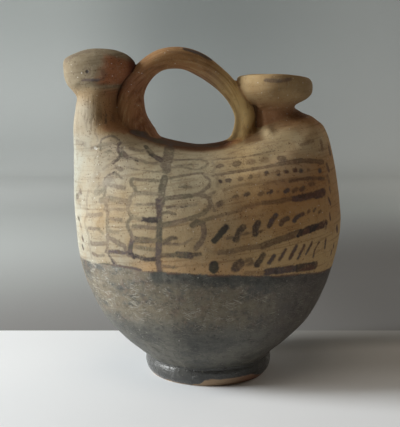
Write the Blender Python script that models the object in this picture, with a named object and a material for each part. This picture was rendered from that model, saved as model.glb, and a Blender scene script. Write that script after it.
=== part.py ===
"""A bird-headed askos: one fired clay vessel with a disc foot, an egg-shaped body that rises into
a neck and head at one end and a tail hump at the other, an arched handle over the back, and a
cup-shaped filling mouth on a short stem. The vessel is hollow and opens through the cup."""

import math

import bpy
import numpy as np

# Driving sizes in metres. X runs from the head to the tail, Z is up, the origin is under the foot.
BODY_LENGTH = 0.161
BODY_DEPTH = 0.116
CROWN_HEIGHT = 0.1932
WALL = 0.005
FLOOR_THICKNESS = 0.0145

FOOT_RADIUS = 0.0384
FOOT_HEIGHT = 0.0105
FOOT_EDGE = 0.0028
FOOT_JOINT_INSET = 0.001
# Outline of the foot from the table up: how far in, as a share of FOOT_EDGE, and the height as a
# share of FOOT_HEIGHT.
FOOT_OUTLINE = ((1.00, 0.00), (0.35, 0.22), (0.00, 0.50), (0.00, 0.72), (0.14, 0.90))

NECK_DEPTH = 0.0275
HEAD_DEPTH = 0.028
HOLLOW_TOP_RISE = 0.008

HANDLE_THICKNESS = 0.013
HANDLE_WIDTH = 0.0155

CUP_RADIUS = 0.0227
CUP_DEPTH = 0.0190
CUP_LIP = 0.0036
STEM_RADIUS = 0.0112
BORE_RADIUS = 0.0065

RING_SIDES = 56
CAVITY_SIDES = 36
HANDLE_SIDES = 18
CUP_SIDES = 36

# The body, neck and head are one skin of closed rings. Each row is a ring: where it crosses the
# head-side outline and the tail-side outline (x as a share of BODY_LENGTH, z as a share of the
# height above the foot), its depth as a share of BODY_DEPTH, and how far its flanks sag.
BODY_RINGS = (
    (-0.261, 0.021, 0.248, 0.021, 0.705, 0.000),
    (-0.319, 0.067, 0.309, 0.065, 0.825, 0.000),
    (-0.384, 0.130, 0.381, 0.128, 0.920, 0.000),
    (-0.430, 0.205, 0.429, 0.200, 0.968, 0.002),
    (-0.462, 0.277, 0.462, 0.271, 0.992, 0.006),
    (-0.482, 0.359, 0.486, 0.350, 1.000, 0.012),
    (-0.490, 0.446, 0.499, 0.434, 0.990, 0.028),
    (-0.495, 0.523, 0.493, 0.511, 0.960, 0.058),
    (-0.494, 0.583, 0.480, 0.588, 0.910, 0.086),
    (-0.493, 0.626, 0.465, 0.660, 0.845, 0.104),
    (-0.492, 0.659, 0.448, 0.722, 0.768, 0.114),
    (-0.491, 0.682, 0.418, 0.769, 0.690, 0.118),
    (-0.491, 0.701, 0.385, 0.793, 0.625, 0.125),
    (-0.491, 0.717, 0.308, 0.801, 0.566, 0.121),
    (-0.491, 0.731, 0.199, 0.753, 0.510, 0.085),
    (-0.491, 0.742, 0.087, 0.709, 0.456, 0.051),
    (-0.491, 0.750, -0.022, 0.693, 0.406, 0.028),
    (-0.491, 0.758, -0.126, 0.707, 0.363, 0.016),
    (-0.490, 0.766, -0.223, 0.733, 0.330, 0.006),
    (-0.489, 0.777, -0.300, 0.757, 0.295, 0.000),
)
# The neck's depth is a share of NECK_DEPTH, the head's a share of HEAD_DEPTH.
NECK_RINGS = (
    (-0.486, 0.796, -0.333, 0.789, 1.11, 0.000),
    (-0.482, 0.821, -0.335, 0.824, 1.04, 0.000),
    (-0.478, 0.846, -0.328, 0.862, 1.00, 0.000),
)
HEAD_RINGS = (
    (-0.491, 0.865, -0.314, 0.889, 0.98, 0.000),
    (-0.509, 0.883, -0.292, 0.911, 1.00, 0.000),
    (-0.520, 0.906, -0.272, 0.931, 1.00, 0.000),
    (-0.523, 0.934, -0.265, 0.949, 0.98, 0.000),
    (-0.521, 0.961, -0.276, 0.966, 0.90, 0.000),
    (-0.502, 0.976, -0.300, 0.982, 0.74, 0.000),
    (-0.462, 0.991, -0.335, 0.994, 0.46, 0.000),
)
CROWN_X = -0.405
SNOUT_NARROWING = 0.14
# How much fuller a ring is towards the tail for its sag, and how much more it sags there.
TAIL_FULLNESS = 1.5
TAIL_SAG = 0.6

# The handle's centre line, in the same shares, with its thickness as a share of its own size
# and its width likewise. Both ends run into the wall of the body.
HANDLE_STATIONS = (
    (-0.255, 0.700, 2.10, 1.75),
    (-0.267, 0.742, 1.55, 1.35),
    (-0.276, 0.790, 1.14, 1.08),
    (-0.276, 0.845, 1.00, 1.00),
    (-0.263, 0.886, 0.97, 1.00),
    (-0.237, 0.922, 0.91, 1.00),
    (-0.203, 0.950, 0.92, 1.00),
    (-0.165, 0.966, 0.96, 1.00),
    (-0.120, 0.971, 1.00, 1.00),
    (-0.074, 0.965, 1.00, 1.00),
    (-0.028, 0.947, 1.00, 1.00),
    (0.020, 0.918, 0.91, 1.00),
    (0.064, 0.885, 0.85, 1.00),
    (0.105, 0.844, 0.86, 1.06),
    (0.134, 0.790, 0.88, 1.25),
    (0.131, 0.740, 0.84, 1.55),
    (0.118, 0.700, 0.92, 1.90),
    (0.100, 0.660, 1.00, 2.10),
)
SECTION_SQUARENESS = 2.5

# The filling cup stands on the tail hump, in the same shares.
CUP_X = 0.2445
CUP_RIM_LEVEL = 0.918
STEM_FOOT_LEVEL = 0.700
STEM_FLARE = 0.0022
# Outline of the stem from its foot up: how much wider than STEM_RADIUS, as a share of STEM_FLARE,
# and the height as a share of the stem's own.
STEM_OUTLINE = ((1.00, 0.00), (0.60, 0.35), (0.15, 0.70))
# Outline of the cup from the stem up: the radius as a share of the way from STEM_RADIUS to
# CUP_RADIUS, and the height below the rim as a share of CUP_DEPTH.
CUP_OUTLINE = (
    (0.00, 1.00),
    (0.19, 0.93),
    (0.47, 0.82),
    (0.76, 0.68),
    (0.95, 0.51),
    (1.00, 0.33),
    (0.98, 0.11),
)
# Outline of the hollow from the channel up: the radius as a share of the way from BORE_RADIUS to
# the mouth, and the height below the rim as a share of the bowl's depth.
BOWL_OUTLINE = ((0.00, 1.25), (0.15, 1.00), (0.66, 0.80), (0.92, 0.50), (1.00, 0.15))
# How far the lip rounds over, outwards and inwards, as shares of CUP_LIP.
LIP_OUTER_ROUND = 0.35
LIP_INNER_ROUND = 0.30
CUTTER_OVERRUN = 0.01


def height(share):
    """Height above the table of a share of the way from the foot's top to the crown."""
    return FOOT_HEIGHT + share * (CROWN_HEIGHT - FOOT_HEIGHT)


def smooth_rows(rows, steps):
    """Rows of a table with steps - 1 rows added in each gap, on a Catmull-Rom curve through them."""
    table = np.array(rows, float)
    ends = (2 * table[0] - table[1], 2 * table[-1] - table[-2])
    padded = np.vstack([ends[0], table, ends[1]])
    made = []
    for i in range(1, len(padded) - 2):
        a, b, c, d = padded[i - 1 : i + 3]
        for t in np.arange(steps) / steps:
            made.append(
                0.5 * (2 * b + (c - a) * t + (2 * a - 5 * b + 4 * c - d) * t**2
                       + (3 * b - a - 3 * c + d) * t**3)
            )
    made.append(table[-1])
    return np.array(made)


def angles(sides):
    """Evenly spaced angles once round."""
    return np.arange(sides) * 2 * math.pi / sides


def circle(radius, z, sides, x=0.0):
    """A level ring of points."""
    turn = angles(sides)
    return np.stack([x + radius * np.cos(turn), radius * np.sin(turn), np.full(sides, z)], axis=1)


def skin_rows():
    """Ring rows in metres: left x and z, right x and z, half depth, sag, tail fullness."""
    body = [(*row[:4], row[4] * BODY_DEPTH / 2, row[5], TAIL_FULLNESS * row[5])
            for row in BODY_RINGS]
    neck = [(*row[:4], row[4] * NECK_DEPTH / 2, row[5], 0.0) for row in NECK_RINGS]
    head = [(*row[:4], row[4] * HEAD_DEPTH / 2, row[5], SNOUT_NARROWING) for row in HEAD_RINGS]
    foot_joint = FOOT_RADIUS - FOOT_JOINT_INSET
    start = (-foot_joint / BODY_LENGTH, 0.0, foot_joint / BODY_LENGTH, 0.0, foot_joint, 0.0, 0.0)
    return [start, *body, *neck, *head]


def skin_ring(row, sides):
    """A closed ring across the body, neck or head: an oval between its two outline points,
    whose flanks sag below the line between them, more so towards the tail."""
    left_x, left_z, right_x, right_z, half_depth, sag, fullness = row
    turn = angles(sides)
    across = np.cos(turn)
    x = (left_x + right_x) / 2 + (right_x - left_x) / 2 * across
    level = (left_z + right_z) / 2 + (right_z - left_z) / 2 * across
    level -= sag * np.sin(turn) ** 2 * (1 + TAIL_SAG * across)
    y = half_depth * np.sin(turn) * (1 + fullness * across)
    return np.stack([x * BODY_LENGTH, y, height(level)], axis=1)


def vessel_rings():
    """Every ring of the outer skin, from the foot's edge up to the head."""
    foot = [circle(FOOT_RADIUS - inwards * FOOT_EDGE, up * FOOT_HEIGHT, RING_SIDES)
            for inwards, up in FOOT_OUTLINE]
    return [*foot, *(skin_ring(row, RING_SIDES) for row in skin_rows())]


def cavity_rings():
    """The hollow: the body's and neck's skin moved inwards by the wall, over a flat floor."""
    count = 1 + len(BODY_RINGS) + len(NECK_RINGS)
    rings = np.array([skin_ring(row, CAVITY_SIDES) for row in skin_rows()[:count]])
    around = np.roll(rings, -1, axis=1) - np.roll(rings, 1, axis=1)
    upward = np.gradient(rings, axis=0)
    outward = np.cross(around, upward)
    outward /= np.linalg.norm(outward, axis=2)[:, :, None]
    inner = rings - outward * WALL
    inner[1, :, 2] = FLOOR_THICKNESS
    return list(inner[1:])


def loft(name, rings, top=None):
    """A closed solid through rings of equal point counts, ended by flat faces or a top point."""
    sides = len(rings[0])
    points = np.concatenate(rings)
    faces = []
    for i in range(len(rings) - 1):
        for j in range(sides):
            k = (j + 1) % sides
            low, high = i * sides, (i + 1) * sides
            faces.append((low + j, low + k, high + k, high + j))
    faces.append(tuple(range(sides - 1, -1, -1)))
    last = (len(rings) - 1) * sides
    if top is None:
        faces.append(tuple(range(last, last + sides)))
    else:
        points = np.vstack([points, top])
        faces += [(last + j, last + (j + 1) % sides, len(points) - 1) for j in range(sides)]
    mesh = bpy.data.meshes.new(name)
    mesh.from_pydata(points.tolist(), [], faces)
    mesh.validate()
    made = bpy.data.objects.new(name, mesh)
    bpy.context.scene.collection.objects.link(made)
    return made


def make_vessel():
    """The foot, body, neck and head as one closed skin."""
    crown = (CROWN_X * BODY_LENGTH, 0, CROWN_HEIGHT)
    return loft("askos", vessel_rings(), top=crown)


def make_cavity():
    """The hollow of the body and neck, closed under the head by a low point."""
    rings = cavity_rings()
    top = rings[-1].mean(axis=0) + (0, 0, HOLLOW_TOP_RISE)
    return loft("cavity", rings, top=top)


def make_handle():
    """The arched handle: a rounded strap swept along its centre line."""
    rows = smooth_rows(HANDLE_STATIONS, 2)
    centre = np.stack([rows[:, 0] * BODY_LENGTH, np.zeros(len(rows)), height(rows[:, 1])], axis=1)
    along = np.gradient(centre, axis=0)
    along /= np.linalg.norm(along, axis=1)[:, None]
    turn = angles(HANDLE_SIDES)
    power = 2 / SECTION_SQUARENESS
    out = np.sign(np.cos(turn)) * np.abs(np.cos(turn)) ** power
    side = np.sign(np.sin(turn)) * np.abs(np.sin(turn)) ** power
    rings = []
    for place, way, row in zip(centre, along, rows):
        outward = np.array([-way[2], 0, way[0]])
        thick = row[2] * HANDLE_THICKNESS / 2
        wide = row[3] * HANDLE_WIDTH / 2
        rings.append(place + np.outer(out * thick, outward) + np.outer(side * wide, (0, -1, 0)))
    return loft("handle", rings)


def make_spout():
    """The cup and its stem, a turned shape."""
    x = CUP_X * BODY_LENGTH
    rim = height(CUP_RIM_LEVEL)
    bowl_foot = rim - CUP_DEPTH
    stem_foot = height(STEM_FOOT_LEVEL)
    stem = bowl_foot - stem_foot
    spread = CUP_RADIUS - STEM_RADIUS
    outline = [(STEM_RADIUS + out * STEM_FLARE, stem_foot + up * stem) for out, up in STEM_OUTLINE]
    outline += [(STEM_RADIUS + out * spread, rim - down * CUP_DEPTH) for out, down in CUP_OUTLINE]
    outline.append((CUP_RADIUS - LIP_OUTER_ROUND * CUP_LIP, rim))
    return loft("spout", [circle(radius, z, CUP_SIDES, x) for radius, z in outline])


def make_bore():
    """What the cup's bowl and the channel through the stem leave empty, down into the hollow."""
    x = CUP_X * BODY_LENGTH
    rim = height(CUP_RIM_LEVEL)
    bowl = CUP_DEPTH - CUP_LIP
    mouth = CUP_RADIUS - CUP_LIP
    spread = mouth - BORE_RADIUS
    lip = mouth + LIP_INNER_ROUND * CUP_LIP
    outline = [(BORE_RADIUS, height(STEM_FOOT_LEVEL) - WALL)]
    outline += [(BORE_RADIUS + out * spread, rim - down * bowl) for out, down in BOWL_OUTLINE]
    outline += [(lip, rim), (lip, rim + CUTTER_OVERRUN)]
    return loft("bore", [circle(radius, z, CUP_SIDES, x) for radius, z in outline])


def combine(target, tool, operation):
    """Joins or cuts target with a hidden tool, by a Boolean."""
    tool.hide_render = True
    tool.display_type = "WIRE"
    modifier = target.modifiers.new(f"{operation.lower()} {tool.name}", "BOOLEAN")
    modifier.object = tool
    modifier.operation = operation
    modifier.solver = "EXACT"


def clay(name, colour, roughness):
    """A plain fired clay finish."""
    material = bpy.data.materials.new(name)
    material.use_nodes = True
    shader = material.node_tree.nodes["Principled BSDF"]
    shader.inputs["Base Color"].default_value = (*colour, 1)
    shader.inputs["Roughness"].default_value = roughness
    shader.inputs["Metallic"].default_value = 0
    return material


def main():
    for old in list(bpy.data.objects):
        bpy.data.objects.remove(old)
    askos = make_vessel()
    combine(askos, make_handle(), "UNION")
    combine(askos, make_spout(), "UNION")
    combine(askos, make_cavity(), "DIFFERENCE")
    combine(askos, make_bore(), "DIFFERENCE")
    askos.data.materials.append(clay("buff_clay", (0.46, 0.32, 0.19), 0.8))
    askos.data.shade_smooth()
    askos.data.set_sharp_from_angle(angle=math.radians(40))


main()
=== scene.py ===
"""A bird-headed askos of fired clay: the fine surface, its brush-painted decoration and dark slip,
and a small studio round it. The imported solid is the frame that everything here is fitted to."""

import math

import bpy
import numpy as np
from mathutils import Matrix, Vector


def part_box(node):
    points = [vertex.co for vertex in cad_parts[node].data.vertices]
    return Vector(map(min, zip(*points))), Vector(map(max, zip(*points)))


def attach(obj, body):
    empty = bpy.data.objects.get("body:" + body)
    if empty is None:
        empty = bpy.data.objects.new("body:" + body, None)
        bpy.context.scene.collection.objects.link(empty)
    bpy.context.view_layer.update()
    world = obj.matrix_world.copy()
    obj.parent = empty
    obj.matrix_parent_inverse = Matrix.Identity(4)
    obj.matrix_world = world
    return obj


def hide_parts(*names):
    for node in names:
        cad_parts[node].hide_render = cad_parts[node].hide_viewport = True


bl_info = {
    "name": "Painted askos",
    "version": (1, 0, 0),
    "blender": (4, 5, 0),
    "location": "3D View > Sidebar > Askos",
    "description": "A painted bird-headed clay vessel on a paper-covered table",
    "category": "Add Mesh",
}

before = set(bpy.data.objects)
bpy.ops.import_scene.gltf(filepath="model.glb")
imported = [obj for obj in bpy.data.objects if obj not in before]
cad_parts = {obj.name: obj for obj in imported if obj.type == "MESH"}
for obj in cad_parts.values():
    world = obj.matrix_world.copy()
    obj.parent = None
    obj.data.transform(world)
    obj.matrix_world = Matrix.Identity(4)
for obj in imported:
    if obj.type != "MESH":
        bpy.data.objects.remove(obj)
LOW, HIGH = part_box("askos")
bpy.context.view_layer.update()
MM = 0.001
MOST_TRIANGLES = 200000

# Parts of the vessel, as the number that their faces carry until they are one surface.
SKIN, HANDLE, SPOUT, INSIDE, WEB = range(5)

# The body, neck and head are one skin of closed rings. Each row is a ring: where it crosses the
# head-side outline and the tail-side outline (x as a share of the body's length, z as a share of
# the height above the foot), its depth as a share of its own part's depth, and its flanks' sag.
BODY_RINGS = (
    (-0.261, 0.021, 0.248, 0.021, 0.705, 0.000),
    (-0.319, 0.067, 0.309, 0.065, 0.825, 0.000),
    (-0.384, 0.130, 0.381, 0.128, 0.920, 0.000),
    (-0.430, 0.205, 0.429, 0.200, 0.968, 0.002),
    (-0.462, 0.277, 0.462, 0.271, 0.992, 0.006),
    (-0.482, 0.359, 0.486, 0.350, 1.000, 0.012),
    (-0.490, 0.446, 0.499, 0.434, 0.990, 0.028),
    (-0.495, 0.523, 0.493, 0.511, 0.960, 0.058),
    (-0.494, 0.583, 0.480, 0.588, 0.910, 0.086),
    (-0.493, 0.626, 0.465, 0.660, 0.845, 0.104),
    (-0.492, 0.659, 0.448, 0.722, 0.768, 0.114),
    (-0.491, 0.682, 0.418, 0.769, 0.690, 0.118),
    (-0.491, 0.701, 0.385, 0.793, 0.625, 0.125),
    (-0.491, 0.717, 0.308, 0.801, 0.566, 0.121),
    (-0.491, 0.731, 0.199, 0.753, 0.510, 0.085),
    (-0.491, 0.742, 0.087, 0.709, 0.456, 0.051),
    (-0.491, 0.750, -0.022, 0.693, 0.406, 0.028),
    (-0.491, 0.758, -0.126, 0.707, 0.363, 0.016),
    (-0.490, 0.766, -0.223, 0.733, 0.330, 0.006),
    (-0.489, 0.777, -0.300, 0.757, 0.295, 0.000),
)
NECK_RINGS = (
    (-0.486, 0.796, -0.333, 0.789, 1.11, 0.000),
    (-0.482, 0.821, -0.335, 0.824, 1.04, 0.000),
    (-0.478, 0.846, -0.328, 0.862, 1.00, 0.000),
)
HEAD_RINGS = (
    (-0.491, 0.865, -0.314, 0.889, 0.98, 0.000),
    (-0.509, 0.883, -0.292, 0.911, 1.00, 0.000),
    (-0.520, 0.906, -0.272, 0.931, 1.00, 0.000),
    (-0.523, 0.934, -0.265, 0.949, 0.98, 0.000),
    (-0.521, 0.961, -0.276, 0.966, 0.90, 0.000),
    (-0.502, 0.976, -0.300, 0.982, 0.74, 0.000),
    (-0.462, 0.991, -0.335, 0.994, 0.46, 0.000),
)
CROWN_X = -0.405
SNOUT_NARROWING = 0.14
TAIL_FULLNESS = 1.5
TAIL_SAG = 0.6

# The disc foot's outline: how far it draws in and how high it is, in shares.
FOOT_OUTLINE = ((1.00, 0.00), (0.35, 0.22), (0.00, 0.50), (0.00, 0.72), (0.14, 0.90))

# The handle's centre line in the same shares, with its thickness and width factors.
HANDLE_STATIONS = (
    (-0.255, 0.700, 2.10, 1.75),
    (-0.272, 0.742, 1.70, 1.75),
    (-0.285, 0.790, 1.42, 1.42),
    (-0.285, 0.845, 1.24, 1.12),
    (-0.269, 0.886, 1.10, 1.00),
    (-0.239, 0.922, 0.95, 1.00),
    (-0.203, 0.950, 0.92, 1.00),
    (-0.165, 0.966, 0.96, 1.00),
    (-0.120, 0.971, 1.00, 1.00),
    (-0.074, 0.965, 1.00, 1.00),
    (-0.028, 0.947, 1.00, 1.00),
    (0.020, 0.918, 0.91, 1.00),
    (0.064, 0.885, 0.85, 1.00),
    (0.105, 0.844, 0.86, 1.06),
    (0.134, 0.790, 0.88, 1.25),
    (0.131, 0.740, 0.84, 1.55),
    (0.118, 0.700, 0.92, 1.90),
    (0.100, 0.660, 1.00, 2.10),
)
SECTION_SQUARENESS = 2.2

# The filling cup on its stem: levels in the same shares, then outlines of how far out of the stem or
# of the bore, and how far up the stem or down from the rim, each in shares of its own part.
CUP_RIM_LEVEL = 0.918
STEM_FOOT_LEVEL = 0.700
STEM_FLARE = 0.0022
STEM_OUTLINE = ((1.00, 0.00), (0.60, 0.35), (0.15, 0.70))
CUP_OUTLINE = (
    (0.00, 1.00), (0.19, 0.93), (0.47, 0.82), (0.76, 0.68), (0.95, 0.51), (1.00, 0.33), (0.98, 0.11),
)
BOWL_OUTLINE = ((0.00, 1.25), (0.15, 1.00), (0.66, 0.80), (0.92, 0.50), (1.00, 0.15))

# Where clay closes the narrow gaps beside the neck and beside the stem: x as a share of the body's
# length and z as a share of the height above the foot, at the lower and the upper end.
NECK_WEB = (-0.325, 0.745, -0.318, 0.895)
STEM_WEB = (0.175, 0.690, 0.172, 0.845)

# Low forms smeared on or pressed in by hand, in millimetres: the points of each one's line, how wide
# it is, the power by which it falls off and how high it stands.
FINGER_RIDGE = (((30.0, -8.5, 160.0), (30.8, -9.8, 155.0), (31.7, -12.0, 150.0), (33.2, -18.0, 144.5)),
                2.3, 2, 1.7)
TOE = (((13.0, -14.5, 138.2),), 4.6, 4, 1.8)
TOE_DIMPLE = (((13.4, -10.5, 139.4),), 1.7, 2, -1.3)
FLATTENED_HUMP = (((50.0, -2.0, 157.5), (62.0, -4.0, 153.5)), 9.0, 2, -2.2)
SHOULDER_SWELLING = (((67.5, -6.0, 149.0),), 5.0, 2, 1.0)
CHIN_LINE = ((-75.0, -10.0, 173.5), (-70.4, -12.5, 173.0), (-65.9, -13.8, 173.6), (-60.9, -14.1, 175.0))

# The share, the size in millimetres and the seed of each layer of unevenness.
UNEVEN_LAYERS = ((1, 26, 1), (0.45, 9, 2), (0.20, 4, 3))

# How finely the shapes are cut: points round half a ring on the painted and on the hidden flank, the
# ring where the painting starts, the distance in millimetres between rings below it, at head and
# tail, on the painted flank and on the head, and then steps along and points round the rest.
NEAR_SIDES, FAR_SIDES = 268, 132
PAINTED_FROM = 5
RING_STEPS = (1.7, 2.4, 0.82, 1.0)
FOOT_RINGS, CROWN_RINGS = 13, 10
HANDLE_GRID, SPOUT_GRID, WEB_GRID = (150, 44), (96, 88), (24, 20)
HOLLOW_SIDES, DRILL_SIDES = 48, 40

# Where each lamp hangs and how large it is, in metres.
WINDOW_LAMP = ((-1.19, 0.10, 0.47), (0.40, 0.95))
OVERHEAD_LAMP = ((-0.10, -0.30, 1.30), (0.70, 0.70))
REAR_LAMP = ((0.95, 0.65, 0.45), (0.50, 0.50))

# The middle of the eye and the painted highlight before it, in millimetres.
EYE = (-70.8, -12.7, 179.8)
EYE_HIGHLIGHT = (-74.0, -11.4, 179.0)

# Bright chips high on the breast, in millimetres.
CHEST_SPECKS = ((-67.2, -16.7, 137.2), (-66.3, -17.2, 136.7))
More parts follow.
